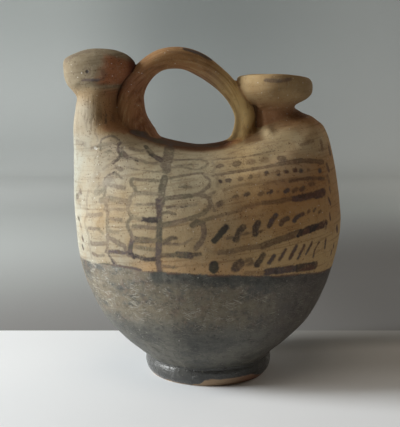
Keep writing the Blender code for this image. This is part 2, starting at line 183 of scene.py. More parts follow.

# Brush strokes of the painted flank, on the surface that faces -Y. Each is a width in millimetres,
# a strength, a tone (0 brown, 1 grey-purple, 2 black), then x and z of each point in millimetres.
# Some strokes are painted shade: the dark ones at the foot of the handle's left leg and the thin lines
# under the right leg's toe; the broad band along the back under the arch is partly painted shade.
BRUSH_STROKES = (
    (6.2, 0.66, 0.1, -25, 136.5, -27, 132, -29, 128.5), (5.2, 0.66, 0.2, -28, 130, -28.5, 126),
    (4, 0.78, 0.3, -30, 122, -32, 115.5, -32.5, 109),
    (3.4, 0.9, 0.2, -34, 110.5, -34, 101.5, -34.5, 89, -35, 78, -33.5, 69.5),
    (2, 0.64, 0, -33, 120.5, -43, 121, -47.5, 121.5, -48, 118.5, -46.5, 117, -44.5, 114.5, -34, 113.5),
    (1.3, 0.94, 0, -45, 121.5, -40, 121),
    (2.4, 0.44, 0.3, -34.5, 114, -44.5, 114, -48, 112.5, -50, 109.5, -50.5, 106.5, -49.5, 103, -47.5,
     101.5, -43, 100.5, -35, 100),
    (1.6, 0.57, 0.5, -47, 108, -37, 108.5), (2.8, 0.97, 0.9, -43, 100.5, -35, 100.5),
    (2.2, 0.63, 0.2, -48, 102, -50.5, 99, -50.5, 95.5, -49, 92.5, -48, 90.5, -43, 89, -35, 89.5),
    (2.2, 0.62, 0, -48, 96.5, -42.5, 96.5, -36, 96), (2.9, 0.7, 0.6, -47.5, 89.5, -40, 89.5),
    (2.8, 0.98, 0, -48.5, 89.5, -49.5, 85.5, -49.5, 81.5, -47.5, 80),
    (2.3, 0.56, 0.2, -46.5, 85.5, -37, 84.5),
    (2.5, 0.85, 2, -50.5, 81, -47, 80.5, -42, 79, -35.5, 79.5),
    (1.1, 0.12, 0.1, -50, 122, -55, 122.5, -59, 120, -61.5, 118.5),
    (2.6, 0.52, 0.2, -59, 117.5, -52, 116.5),
    (4, 0.48, 0.4, -64.5, 109, -60, 110.5, -55, 109.5, -49.5, 109),
    (2, 0.41, 0.1, -63, 104.5, -57.5, 105, -52.5, 105), (2.3, 0.57, 0.2, -60, 99.5, -54, 99.5),
    (2.4, 0.54, 0.1, -62, 118, -62.5, 113.5, -62.5, 109, -61.5, 104, -61.5, 98.5, -61.5, 93, -61.5,
     87.5, -62, 80.5),
    (2, 0.45, 0, -61.5, 92.5, -56, 92.5), (2.8, 0.67, 0.1, -61, 89, -56.5, 87, -53, 85.5),
    (2.4, 1, 0, -62.5, 81, -56.5, 81.5, -51.5, 81.5), (1.3, 1, 2, -62, 83, -61.5, 80, -58, 74.5),
    (2.3, 0.74, 0, -52.5, 85, -52, 81.5, -50, 80.5),
    (1.7, 0.3, 0, -71.5, 113, -72.5, 108, -72.5, 101, -74, 95, -72, 88.5, -71.5, 81.5, -70.5, 75.5),
    (2.3, 0.47, 0, -72.5, 100, -68, 100.5, -64.5, 101.5), (1.8, 0.7, 0, -72, 92.5, -66, 93),
    (2.4, 0.56, 0.1, -70.5, 84, -67, 84.5, -62.5, 85.5), (1.7, 0.72, 0, -70, 78, -67, 77.5, -64, 78.5),
    (3.2, 0.54, 0.3, -66, 113.5, -62.5, 116),
    (1.8, 0.14, 0, -72.5, 109, -71, 113, -68, 116.5, -64.5, 118.5), (2.1, 1, 0, -76, 112.5, -75.5, 111),
    (2.1, 0.37, 0, -76.5, 105, -76, 103.5), (2.1, 0.97, 0, -77.5, 96.5, -77, 95.5),
    (2.1, 0.68, 0, -76.5, 93, -76, 91.5), (2.1, 1, 0, -75.5, 86, -75, 84.5),
    (2.1, 0.96, 0, -75.5, 80.5, -75, 79),
    (2.2, 0.9, 0, -53.5, 140, -54.5, 136.5, -53.5, 133, -57.5, 129.5),
    (2.6, 0.5, 0, -47.5, 137.5, -44.5, 136.5, -41.5, 136),
    (1.6, 0.6, 0, -47, 137.5, -43.5, 136, -40, 136.5),
    (1.7, 0.85, 2, -53.5, 132.5, -49, 132.5, -44, 131), (3, 0.88, 0, -39, 138, -37, 135, -31, 131),
    (2.6, 1, 0, -36.5, 134, -31.5, 132), (2.6, 0.5, 0, -56.5, 127.5, -53, 126),
    (1.3, 0.63, 0, -39.5, 129.5, -33, 129.5),
    (1.8, 0.5, 0, -53.5, 132.5, -48, 132, -42.5, 131, -37, 129.5, -31.5, 129),
    (0.8, 0.54, 0, -51.5, 128, -46.5, 126.5, -38.5, 125.5, -30.5, 125),
    (1.6, 0.39, 0, -63, 126, -59, 129, -56.5, 130.5), (1.6, 0.66, 0, -61.5, 122, -57, 124, -53, 121.5),
    (1.6, 0.45, 0, -25, 131, -17, 131, -9, 131, -5.5, 130, -5, 129, -6.5, 127.5, -12, 126, -21, 127.5,
     -26.5, 127),
    (0.8, 0.62, 0, -23.5, 128, -15.5, 128.5, -10.5, 128.5),
    (2, 0.62, 0, -26.5, 122, -18, 123.5, -9.5, 124, -7.5, 122.5, -6, 121.5, -5.5, 119, -8, 116.5, -12.5,
     114, -20.5, 112.5, -30, 112),
    (2.5, 0.67, 0.1, -31, 111.5, -23, 112.5, -16.5, 113), (1.6, 0.58, 0, -22.5, 117.5, -16, 117.5),
    (1.3, 0.93, 0, -29.5, 107, -22, 107.5, -16, 108.5),
    (1.6, 0.58, 2, -33, 104, -29, 104.5, -25.5, 103.5),
    (2.5, 0.63, 0, -14, 113.5, -9.5, 113, -6.5, 111.5, -6.5, 108, -8.5, 105.5, -11.5, 103.5, -18, 101.5,
     -25, 99, -32.5, 98),
    (2.5, 0.81, 0, -33, 98, -25.5, 99.5, -19.5, 101), (1, 1, 0, -21.5, 107.5, -16, 108.5),
    (3.1, 0.76, 0, -16.5, 98, -14, 99.5, -11, 98.5, -10.5, 95.5, -11, 92, -12.5, 89, -15, 86),
    (1.9, 0.72, 2, -32, 88, -29.5, 90.5, -25.5, 91), (1.3, 0.81, 0, -31, 88, -24.5, 88),
    (2.5, 0.69, 2, -33.5, 81.5, -26, 82, -18, 82.5, -13, 82.5), (3.6, 0.87, 0.7, -24.5, 82.5, -18, 82),
    (1.6, 0.68, 0, -33.5, 76, -29, 75.5, -25.5, 75.5),
    (1, 0.72, 0, 1, 131, 9, 131.5, 17, 132.5, 26, 134, 33.5, 135.5),
    (0.8, 0.15, 0, -22, 134, -11.5, 133, -0.5, 132.5),
    (2.3, 0.69, 0, -3.5, 123, 2.5, 123.5, 9, 124.5, 19, 126, 26.5, 127, 34.5, 128.5),
    (2.9, 0.67, 2, 34, 128.5, 42.5, 129.5, 50.5, 130, 62.5, 128.5),
    (2, 0.83, 0, 40, 119.5, 49.5, 120.5, 62, 119.5),
    (2.1, 0.45, 0, -15, 98.5, -7, 101.5, 4.5, 104, 16, 107, 22, 108.5),
    (2.6, 0.62, 0, 23, 108.5, 30.5, 109, 38.5, 110, 46, 110.5),
    (3.8, 1, 2, 45, 110.5, 52.5, 111, 61.5, 111.5),
    (3.1, 0.6, 0, -2.5, 83.5, 4.5, 84, 13, 85.5, 21, 86), (3.8, 0.8, 0, 21, 86, 32, 89, 43, 91.5),
    (4.1, 1, 2, 42.5, 91, 52, 93, 61, 94), (2.2, 0.48, 0, 12, 71.5, 18, 71.5, 23.5, 71.5),
    (4, 1, 0.3, 24, 71.5, 32.5, 71.5, 44, 71.5), (5, 0.92, 1.8, 43, 71.5, 55.5, 71),
    (3.8, 0.68, 0, 10.5, 128.5, 12, 129), (3.8, 0.47, 0, 18.5, 129.5, 20, 130),
    (3.9, 0.24, 0, 26.5, 130.5, 28, 130.5), (3.9, 0.8, 0, 36, 131.5, 37.5, 131.5),
    (3.9, 0.12, 0, 43.5, 134, 45.5, 134.5), (2.5, 0.99, 0, 0, 120, 0.5, 120),
    (2.6, 0.79, 0.4, 4.5, 120.5, 5.5, 120.5), (2.6, 0.64, 0, 11.5, 121, 12, 121.5),
    (2.6, 0.75, 0, 17.5, 122, 18, 122.5), (2.6, 0.12, 0, 22.5, 122.5, 23, 122.5),
    (2.6, 0.9, 0, 26.5, 123.5, 27, 124), (2.6, 1, 0, 33.5, 123.5, 34, 123.5),
    (2.6, 1, 0, 38, 124.5, 39, 124.5), (2.6, 1, 0, 43, 125, 44, 125), (2.6, 1, 0, 47, 124.5, 47.5, 125),
    (2.7, 1, 0, 59, 124, 60, 124), (3.1, 0.72, 0, -2, 108.5, 0, 109.5),
    (2.3, 0.74, 0, 7, 111.5, 9, 112.5), (2.3, 0.88, 0, 13.5, 113, 15.5, 113.5),
    (2.3, 0.62, 0, 21.5, 113, 23.5, 114), (2.3, 1, 0, 26.5, 113.5, 28.5, 114.5),
    (2.3, 1, 0, 36.5, 114, 38.5, 115), (2.4, 0.77, 0, 41.5, 114, 43.5, 115),
    (2.4, 0.86, 0, 46, 114.5, 48, 115.5), (2.4, 0.74, 0, 52.5, 117, 54.5, 117.5),
    (3.6, 0.99, 2, -5, 90, -1.5, 93.5, 1.5, 97), (3.6, 0.8, 2, 6.5, 90.5, 8.5, 94, 11, 96.5),
    (3.7, 0.82, 2, 17.5, 93, 18, 96, 19.5, 98.5), (2.5, 0.95, 0, 25.5, 96.5, 27.5, 99.5, 30, 102),
    (2.6, 0.88, 0, 32.5, 97, 34, 99, 37, 100), (2.6, 1, 0, 40.5, 98.5, 43, 100.5, 46.5, 101.5),
    (1.6, 0.77, 0, 49.5, 102, 51, 103), (1.6, 1, 0, 53.5, 102.5, 55, 103.5),
    (1.6, 0.8, 0, 57, 101, 58.5, 102), (5.7, 1, 2, -5.5, 76.5, -5.5, 75),
    (5.2, 0.85, 0.1, 6.5, 75, 9, 77), (2.1, 0.67, 0, 11.5, 78, 14.5, 79, 15.5, 77, 13, 76),
    (3.4, 0.84, 2, 18.5, 76, 22, 81), (2.5, 1, 0, 25.5, 76.5, 28, 80), (2, 0.94, 0, 31.5, 77.5, 35, 83),
    (2, 1, 0, 38, 78, 42, 84.5), (1.7, 0.97, 0, 43, 77, 47, 84), (1.4, 1, 0, 48.5, 79, 52.5, 85.5),
    (1.4, 1, 0, 53.5, 76.5, 54.5, 81), (1.4, 1, 0, 54.5, 81, 57.5, 84.5),
    (1.4, 0.99, 0, 62, 80, 62.5, 85.5), (3, 0.84, 0, 69, 136, 69.5, 132.5),
    (3, 0.83, 0, 65.5, 126.5, 66.5, 123.5), (2.9, 0.65, 0, 65, 120.5, 66, 117.5),
    (1.4, 1, 0, 66, 114, 67, 110.5), (2.1, 1, 0, 65, 108, 66.5, 104.5), (1.4, 1, 0, 65.5, 99.5, 66, 96),
    (2.9, 0.7, 0, 61, 95.5, 62, 92), (1.4, 0.12, 0, 64.5, 126.5, 63, 113, 61.5, 99, 61.5, 89.5),
    (3.2, 1, 0, 72, 90, 73, 87.5), (1.7, 1, 0, 70, 80.5, 70, 78.5), (1.6, 1, 0, 68.5, 76.5, 68, 74.5),
    (2.5, 0.57, 0, 63, 140, 63, 135), (2.1, 0.5, 0, 49.5, 138.5, 57.5, 140.5),
    (4.5, 0.86, 0, -38.5, 144, -36, 142, -30, 140, -24.5, 138.5),
    (6.1, 0.83, 0, -28, 140.5, -20, 138.5, -6.5, 137, 2.5, 137),
    (3.8, 0.22, 0, 0, 137.5, 7.5, 138.5, 11.5, 137.5), (3.2, 1, 0, -14.5, 193, -6.5, 190.5, 1, 187),
    (1.7, 0.23, 0, -25, 191.5, -14.5, 190, -8, 186.5), (2.5, 0.12, 0, -3, 182.5, 3, 176.5, 8, 170),
    (2.4, 0.72, 0.5, 30, 175, 36.5, 174.5, 43.5, 175.5), (3, 0.28, 0.2, -77.5, 140, -73, 139),
    (2.4, 0.66, 0, -76, 112.5, -78, 108), (4.1, 1, 0, -45.5, 145.5, -42, 144.5, -38, 143.5),
    (2.5, 0.65, 2, -31, 89, -27.5, 91.5), (2.8, 0.98, 2, -42.5, 100.5, -35.5, 100),
    (3.4, 0.72, 2, -47, 89.5, -40, 89.5), (1.4, 0.12, 0, -70, 161.5, -72, 153.5, -71.5, 147),
    (1.4, 0.07, 0, -67, 164, -68.5, 156, -69, 148.5),
    (2.2, 0.12, 0, -54, 138.5, -49.5, 140, -45, 140, -40, 140),
    (2.2, 0.49, 0, -69, 137, -64, 139, -58.5, 140), (0.8, 0.12, 0, -65, 129.5, -62, 133, -57.5, 135.5),
    (1, 0.15, 0, -24, 134, -14, 133, -5.5, 131.5), (1.7, 0.66, 0, -23, 131, -15, 131, -8, 131),
    (1.6, 0.33, 0, -25.5, 122, -17.5, 123.5, -10, 124, -3.5, 123),
    (1.6, 0.32, 0, -2.5, 129.5, -1, 127, -3, 124.5, -1, 121.5, -1.5, 117.5),
    (1.9, 0.52, 0, -3.5, 114.5, -7.5, 112.5, -5.5, 109, -4, 105.5),
    (1.9, 0.24, 0, -4, 107.5, 3.5, 110.5, 12, 112), (1, 0.63, 0, 3.5, 131, 11.5, 132, 21, 133, 31, 135),
    (0.7, 0.36, 0, 6, 133, 16, 136, 26.5, 137, 37, 139.5), (1, 0.34, 0, -2, 130.5, 6, 131.5, 14, 132.5),
    (1.6, 0.45, 0, -2, 123.5, 8, 124.5, 19, 126), (1.6, 0.36, 0, 11, 118, 23.5, 119, 36.5, 120),
    (2.1, 0.22, 0, -10, 85.5, -5.5, 83.5, 1, 83.5), (3.5, 1, 0.3, 41, 110, 50, 110.5, 58, 111.5),
    (1.8, 0.12, 0.1, -60.5, 107.5, -56.5, 108.5, -51.5, 108), (1, 0.12, 0, -61, 96, -55.5, 95.5),
    (2, 0.58, 0, -62, 89, -58.5, 87.5, -54.5, 86.5), (1.3, 0.79, 0, -60.5, 78, -57.5, 75),
    (2, 1, 0.3, -49.5, 73, -44.5, 72.5), (1.8, 0.36, 0, -70, 93, -66.5, 92.5, -64, 91),
    (1.8, 0.87, 0, -31, 98.5, -24.5, 99, -19, 101), (1.3, 0.5, 0, -29.5, 87.5, -22, 88, -17, 91),
    (1.3, 0.15, 0, -25.5, 76, -19.5, 76.5), (1.3, 0.12, 0, -23, 117.5, -16.5, 117.5, -9.5, 118.5),
    (1.3, 0.12, 0, -26.5, 118, -18.5, 117.5, -12, 118),
    (1.6, 0.37, 0, -27, 106.5, -20.5, 108, -14, 108.5), (1.8, 0.47, 0, -24.5, 99.5, -18.5, 101.5),
    (2.9, 0.83, 0, -52, 135, -49.5, 132.5), (3.8, 0.51, 0, -38, 136.5, -36.5, 135),
    (1, 0.12, 0, -49.5, 139.5, -46, 140.5, -41.5, 139.5, -42, 138.5, -43.5, 136, -47.5, 137.5, -49.5,
     138),
    (3.1, 1, 1.5, -49.5, 81.5, -47.5, 80), (3.1, 0.73, 0, 1, 127.5, 2.5, 128),
    (4.8, 0.93, 1.5, 55.5, 111, 61.5, 112), (4.1, 0.93, 1.6, 56.5, 93.5, 62, 94.5),
    (1.4, 1, 0, -57, 124.5, -62, 121.5, -62, 118), (2, 0.4, 0, -52, 116.5, -56.5, 117.5, -60.5, 118),
    (2, 0.96, 0, -66, 72.5, -56, 73.5, -46.5, 73), (2, 0.18, 0, 23, 121, 26.5, 115, 28, 109.5),
    (1.6, 0.24, 0, 17, 122.5, 27.5, 123.5, 39, 124.5), (1.6, 0.85, 0, 10.5, 124.5, 21, 126, 31.5, 128),
    (1.6, 0.37, 0, 2, 115.5, 11, 118, 21, 118.5), (1.5, 0.12, 0, 2, 100, 13, 101.5, 26, 103.5),
    (1.5, 0.67, 0, 2, 91, 11.5, 93, 21, 94),
    (1.6, 1, 0.5, -73.5, 175, -70.5, 175, -67, 175, -64.5, 175),
    (2.4, 0.37, 0.2, -62, 180, -61.5, 177.5, -62, 175.5),
    (3.7, 0.38, 0.5, -82, 186.5, -78.5, 188.5, -74, 190.5, -69, 191),
    (2.2, 0.12, 0.5, -69, 191, -63, 191, -58, 189.5),
    (1.2, 0.27, 0, -64, 161, -64.5, 157.5, -65.5, 154),
    (1.6, 0.42, 0, -65, 155.5, -65.5, 152.5, -66, 149.5),
    (0.8, 0.42, 0, -63, 159.5, -63.5, 156, -63.5, 153.5), (2.4, 0.28, 0, -56.5, 155, -57, 152.5),
    (0.7, 1, 0, -60.5, 156, -61, 151), (2.1, 1, 0, -78, 109.5, -77.5, 108.5),
    (2.1, 0.12, 0, -77.5, 104.5, -77, 103.5), (2.1, 0.2, 0, -76.5, 98, -76, 97),
    (2.1, 0.12, 0, -76, 90, -75.5, 89),
    (0.8, 0.76, 0, -64.5, 136, -63.5, 138.5, -60.5, 140, -57.5, 140, -54.5, 139),
    (0.7, 0.12, 0, -64.5, 135.5, -64, 132.5, -61.5, 130.5, -58, 130, -54.5, 132),
    (0.7, 0.7, 0, -62, 135, -59.5, 136, -57, 135), (0.7, 0.12, 0, -62.5, 133, -59.5, 133.5, -57, 132.5),
    (0.7, 0.29, 0, -23.5, 118, -20.5, 119, -18.5, 118.5, -16, 119),
    (0.6, 0.43, 0, -26, 120.5, -21, 121, -16, 121.5), (4.1, 0.31, 0.5, -67, 113, -64, 117, -59.5, 121),
    (3.5, 0.12, 0.5, -62, 124, -58, 127.5), (4.8, 0.12, 0.5, -70.5, 118, -67, 122, -65.5, 126.5),
    (0.6, 0.5, 0, 19, 138, 23.5, 139.5, 28, 141),
    (0.6, 0.5, 0, 9.5, 137, 11.5, 136.5, 14.5, 136.5, 16.5, 137.5),
    (1, 0.68, 0.3, -64.5, 138.5, -63.5, 142, -60.5, 143.5, -57, 144, -54, 142, -52.5, 138.5),
    (1, 0.8, 0, -52.5, 138, -53.5, 134.5, -55.5, 132, -58, 130),
    (0.9, 0.46, 0, -61, 133, -60, 134.5, -58, 135, -56, 133.5, -58, 131.5, -60, 131.5),
    (0.8, 0.25, 0, -62, 140, -59, 141.5, -55.5, 140), (0.8, 0.5, 0, -63, 137, -60, 138, -56.5, 138),
    (1.4, 0.7, 0, -51.5, 134, -47.5, 132.5, -44.5, 132),
    (0.8, 0.32, 0.5, -67, 145.5, -65.5, 142.5, -66.5, 139.5), (1.8, 0.5, 0.4, 33, 124.5, 33.5, 125),
    (1.8, 0.75, 0.4, 37.5, 124.5, 38.5, 125), (1.8, 0.7, 0.4, 42.5, 125, 43, 125),
    (1.8, 0.6, 0.4, 47.5, 124.5, 48, 124.5), (1.8, 0.6, 0.4, 51.5, 125, 52.5, 125),
    (1.8, 0.5, 0.4, 64.5, 125, 65.5, 125), (1.5, 0.5, 0.3, 32, 114, 32.5, 114.5),
    (1.8, 0.4, 0, 43.5, 134, 45, 134.5),
)


def rows_at(rows, t):
    """Rows of a table read at the parameters t: the Catmull-Rom curve through them, on which row
    number n lies at t = n."""
    rows = np.asarray(rows, float)
    padded = np.vstack([2 * rows[0] - rows[1], rows, 2 * rows[-1] - rows[-2]])
    first = np.minimum(t.astype(int), len(rows) - 2)
    f = (t - first)[:, None]
    a, b, c, d = (padded[first + k] for k in range(4))
    return 0.5 * (2 * b + (c - a) * f + (2 * a - 5 * b + 4 * c - d) * f**2
                  + (3 * b - a - 3 * c + d) * f**3)


def eased(t):
    """An S curve from 0 to 1: three t squared less two t cubed."""
    return t * t * (3 - 2 * t)


def angles(sides):
    """A full turn in equal steps."""
    return np.arange(sides) * 2 * math.pi / sides


def turned(radius, z, turn, x=0.0):
    """Rings about an upright axis at x: the radius times the cosine and sine of the angle, at z."""
    c, s = np.cos(turn)[None], np.sin(turn)[None]
    return np.stack(np.broadcast_arrays(x + radius * c, radius * s, z + 0 * c), axis=2)


def value_noise(points, size, seed):
    """Smooth random heights from -1 to 1: random values on a cubic lattice of the given size,
    joined by S curves along each axis."""
    side, middle = 32, 100.5
    lattice = np.random.default_rng(seed).uniform(-1, 1, (side, side, side))
    place = points / size + middle
    cell = np.floor(place).astype(int)
    f = eased(place - cell)
    total = np.zeros(len(points))
    for corner in range(8):
        step = np.array([corner & 1, corner >> 1 & 1, corner >> 2])
        weight = np.prod(np.where(step, f, 1 - f), axis=1)
        i, j, k = ((cell + step) % side).T
        total += weight * lattice[i, j, k]
    return total


class Form:
    """The vessel's measured shape, from the sizes that the user sets."""

    def __init__(self, sizes):
        self.sizes = sizes

    def height(self, share):
        """Height above the table of a share of the way from the foot's top to the crown."""
        sizes = self.sizes
        return sizes.foot_height + share * (sizes.crown_height - sizes.foot_height)

    def skin_rows(self):
        """Ring rows: left x and z, right x and z in shares, half depth, sag, tail fullness."""
        sizes = self.sizes
        body = [(*r[:4], r[4] * sizes.body_depth / 2, r[5], TAIL_FULLNESS * r[5])
                for r in BODY_RINGS]
        neck = [(*r[:4], r[4] * sizes.neck_depth / 2, r[5], 0.0) for r in NECK_RINGS]
        head = [(*r[:4], r[4] * sizes.head_depth / 2, r[5], SNOUT_NARROWING) for r in HEAD_RINGS]
        joint = sizes.foot_radius - sizes.foot_joint_inset
        share = joint / sizes.body_length
        return np.array([(-share, 0.0, share, 0.0, joint, 0.0, 0.0), *body, *neck, *head])

    def skin(self, t, turn):
        """Points of the skin at ring parameters t and angles turn: with c and s the cosine and
        sine of the angle, x goes from the right outline to the left as c does, z follows the same
        line and drops by sag times s squared, and y is the half depth times s, fuller at c = 1."""
        rows = rows_at(self.skin_rows(), t)[:, :, None]
        left_x, left_z, right_x, right_z, half_depth, sag, fullness = (rows[:, k] for k in range(7))
        c, s = np.cos(turn)[None], np.sin(turn)[None]
        x = (left_x + right_x) / 2 + (right_x - left_x) / 2 * c
        level = (left_z + right_z) / 2 + (right_z - left_z) / 2 * c
        level = level - sag * s**2 * (1 + TAIL_SAG * c)
        y = half_depth * s * (1 + fullness * c)
        return np.stack([x * self.sizes.body_length, y, self.height(level)], axis=2)

    def ring_steps(self, start, end, flank, back):
        """Ring parameters from start to end, spaced so that rings are at most flank apart on the
        flanks and back apart at the head and the tail."""
        fine = np.linspace(start, end, 60 * (end - start) + 1)
        probe = self.skin(fine, np.array([0, 0.5, 1, 1.5]) * math.pi)
        step = np.linalg.norm(np.diff(probe, axis=0), axis=2) / np.array([back, flank, back, flank])
        travelled = np.concatenate([[0], np.cumsum(step.max(axis=1))])
        count = max(2, math.ceil(travelled[-1]) + 1)
        return np.interp(np.linspace(0, travelled[-1], count), travelled, fine)

    def foot(self, turn, steps):
        """Rings of the disc foot below its joint to the body: a turned outline."""
        sizes = self.sizes
        outline = rows_at(FOOT_OUTLINE, np.linspace(0, len(FOOT_OUTLINE) - 1, steps))
        radius = np.minimum(sizes.foot_radius - outline[:, :1] * sizes.foot_edge, sizes.foot_radius)
        return turned(radius, np.clip(outline[:, 1:], 0, 1) * sizes.foot_height, turn)

    def crown(self, last, steps):
        """Rings that close the head: the last ring shrinks towards the crown point while its
        level rises as a parabola does."""
        top = np.array([CROWN_X * self.sizes.body_length, 0, self.sizes.crown_height])
        r = np.linspace(1, 0, steps + 1)[1:-1, None, None]
        rings = top + (last[None] - top) * r
        rings[:, :, 2] = top[2] + (last[None, :, 2] - top[2]) * r[:, :, 0] ** 2
        return rings, top

    def handle(self, stations, sides):
        """The strap handle: a superellipse section carried along the smoothed centre line."""
        sizes = self.sizes
        rows = rows_at(HANDLE_STATIONS, np.linspace(0, len(HANDLE_STATIONS) - 1, stations))
        centre = np.stack([rows[:, 0] * sizes.body_length, 0 * rows[:, 0], self.height(rows[:, 1])],
                          axis=1)
        along = np.gradient(centre, axis=0)
        along /= np.linalg.norm(along, axis=1)[:, None]
        outward = np.stack([-along[:, 2], 0 * along[:, 0], along[:, 0]], axis=1)
        out, side = (np.sign(wave) * np.abs(wave) ** (2 / SECTION_SQUARENESS)
                     for wave in (np.cos(angles(sides)), np.sin(angles(sides))))
        thick = rows[:, 2, None] * sizes.handle_thickness / 2 * out
        wide = rows[:, 3, None] * sizes.handle_width / 2 * side
        return (centre[:, None] + thick[:, :, None] * outward[:, None]
                + wide[:, :, None] * np.array([0, -1, 0]))

    def spout_outline(self, steps):
        """Radius and height round the cup's wall: up the outside from the stem's foot, over the
        rounded lip and down the bowl and the channel, as a closed smooth line."""
        sizes = self.sizes
        rim, stem_foot = self.height(CUP_RIM_LEVEL), self.height(STEM_FOOT_LEVEL)
        stem = rim - sizes.cup_depth - stem_foot
        spread = sizes.cup_radius - sizes.stem_radius
        lip = sizes.cup_lip
        mouth, bowl = sizes.cup_radius - lip, sizes.cup_depth - lip
        inside = mouth - sizes.bore_radius
        outline = [(sizes.stem_radius + out * STEM_FLARE, stem_foot + up * stem)
                   for out, up in STEM_OUTLINE]
        outline += [(sizes.stem_radius + out * spread, rim - down * sizes.cup_depth)
                    for out, down in CUP_OUTLINE]
        outline += [(sizes.cup_radius - 0.40 * lip, rim - 0.01 * lip),
                    (mouth + 0.25 * lip, rim - 0.03 * lip)]
        outline += [(sizes.bore_radius + out * inside, rim - down * bowl)
                    for out, down in reversed(BOWL_OUTLINE)]
        outline += [(sizes.bore_radius, stem_foot + 0.4 * stem), (sizes.bore_radius, stem_foot)]
        return rows_at(outline, np.linspace(0, len(outline) - 1, steps))

    def spout(self, steps, sides):
        """The cup and its stem: the closed outline turned about the stem's axis."""
        outline = self.spout_outline(steps)
        return turned(outline[:, :1], outline[:, 1:], angles(sides), self.sizes.cup_x)

    def drill(self, sides):
        """A short upright cylinder that opens the stem's channel into the hollow."""
        levels = np.array([[STEM_FOOT_LEVEL - 0.06], [STEM_FOOT_LEVEL + 0.05]])
        radius = self.sizes.bore_radius - 0.2 * MM
        return turned(radius, self.height(levels), angles(sides), self.sizes.cup_x)

    def web(self, place, steps, sides):
        """A web of clay between two close limbs: an elliptic prism between the place's lower and
        upper end, which are each an x share and a height share."""
        low_x, low, high_x, high = place
        rise = np.linspace(0, 1, steps)[:, None]
        low_x, high_x = low_x * self.sizes.body_length, high_x * self.sizes.body_length
        x = low_x + (high_x - low_x) * rise
        z = self.height(low) + (self.height(high) - self.height(low)) * rise
        c, s = np.cos(angles(sides)), np.sin(angles(sides))
        thick, deep = self.sizes.web_thickness / 2, self.sizes.web_depth / 2
        return np.stack([x + thick * c, 0 * x + deep * s, z + 0 * c], axis=2)

    def hollow(self, sides):
        """The inside: the body's and neck's skin moved inwards along its normals by the wall,
        over a flat floor."""
        count = 1 + len(BODY_RINGS) + len(NECK_RINGS)
        rings = self.skin(np.arange(count), angles(sides))
        around = np.roll(rings, -1, axis=1) - np.roll(rings, 1, axis=1)
        upward = np.gradient(rings, axis=0)
        outward = np.cross(around, upward)
        outward /= np.linalg.norm(outward, axis=2)[:, :, None]
        inner = rings - outward * self.sizes.wall
        inner[1, :, 2] = self.sizes.floor_thickness
        return inner[1:]


def placed(name, data):
    """A new object in the scene."""
    thing = bpy.data.objects.new(name, data)
    bpy.context.scene.collection.objects.link(thing)
    return thing


def halved(*corners):
    """Two triangles for each quad, from arrays of its four corners' point numbers."""
    quads = np.stack(corners, axis=1)
    return np.concatenate([quads[:, [0, 1, 2]], quads[:, [0, 2, 3]]])


def ring_faces(lower, upper):
    """Two triangles for each point between rings of equal count, or three for each point of the
    smaller ring where it has half as many as the other. Rings are arrays of point numbers."""
    if len(lower) == len(upper):
        return halved(lower, np.roll(lower, -1), np.roll(upper, -1), upper)
    if len(lower) == 2 * len(upper):
        a, b, c = lower[::2], lower[1::2], np.roll(lower, -2)[::2]
        p, q = upper, np.roll(upper, -1)
        return np.concatenate([np.stack(k, axis=1) for k in ((a, b, p), (b, q, p), (b, c, q))])
    a, b, c = upper[::2], upper[1::2], np.roll(upper, -2)[::2]
    p, q = lower, np.roll(lower, -1)
    return np.concatenate([np.stack(k, axis=1) for k in ((p, b, a), (p, q, b), (q, c, b))])


def lofted(name, layer, rings, bottom=None, top=None, closed=False):
    """A closed mesh through rings given from the bottom up, each anticlockwise seen from above.
    Its ends are closed to the points bottom and top, or else to the middle of their rings, or it
    closes on itself."""
    points = list(rings)
    starts = np.cumsum([0] + [len(ring) for ring in points])
    numbers = [np.arange(first, after) for first, after in zip(starts[:-1], starts[1:])]
    faces = [ring_faces(lower, upper) for lower, upper in zip(numbers[:-1], numbers[1:])]
    if closed:
        faces.append(ring_faces(numbers[-1], numbers[0]))
    else:
        low, high, total = numbers[0], numbers[-1], starts[-1]
        points += [np.array([points[0].mean(0) if bottom is None else bottom]),
                   np.array([points[-1].mean(0) if top is None else top])]
        faces.append(np.stack([np.roll(low, -1), low, np.full(len(low), total)], axis=1))
        faces.append(np.stack([high, np.roll(high, -1), np.full(len(high), total + 1)], axis=1))
    made = plain_mesh(name, np.concatenate(points), np.concatenate(faces))
    for _ in range(WEB + 1):
        made.materials.append(None)
    made.polygons.foreach_set("material_index", np.full(len(made.polygons), layer, np.int32))
    return placed(name, made)


def plain_mesh(name, points, triangles):
    """A mesh from arrays of points and triangles."""
    mesh = bpy.data.meshes.new(name)
    mesh.vertices.add(len(points))
    mesh.vertices.foreach_set("co", points.astype(np.float32).ravel())
    mesh.loops.add(triangles.size)
    mesh.loops.foreach_set("vertex_index", triangles.astype(np.int32).ravel())
    mesh.polygons.add(len(triangles))
    mesh.polygons.foreach_set("loop_start", np.arange(0, triangles.size, 3, dtype=np.int32))
    mesh.update(calc_edges=True)
    return mesh


def combine(target, tool, operation):
    """Joins or cuts target with a tool."""
    modifier = target.modifiers.new(tool.name, "BOOLEAN")
    modifier.object = tool
    modifier.operation = operation
    modifier.solver = "EXACT"


def evaluated_arrays(thing):
    """Points, triangles and the layer of each triangle of an object with its modifiers."""
    graph = bpy.context.evaluated_depsgraph_get()
    mesh = thing.evaluated_get(graph).to_mesh()
    mesh.calc_loop_triangles()

    def gathered(items, name, kind=np.int32, width=1):
        values = np.zeros(len(items) * width, kind)
        items.foreach_get(name, values)
        return values.reshape(-1, width) if width > 1 else values

    points = gathered(mesh.vertices, "co", np.float32, 3)
    triangles = gathered(mesh.loop_triangles, "vertices", width=3)
    layer = gathered(mesh.polygons, "material_index")
    polygon = gathered(mesh.loop_triangles, "polygon_index")
    return points.astype(float), triangles, layer[polygon]


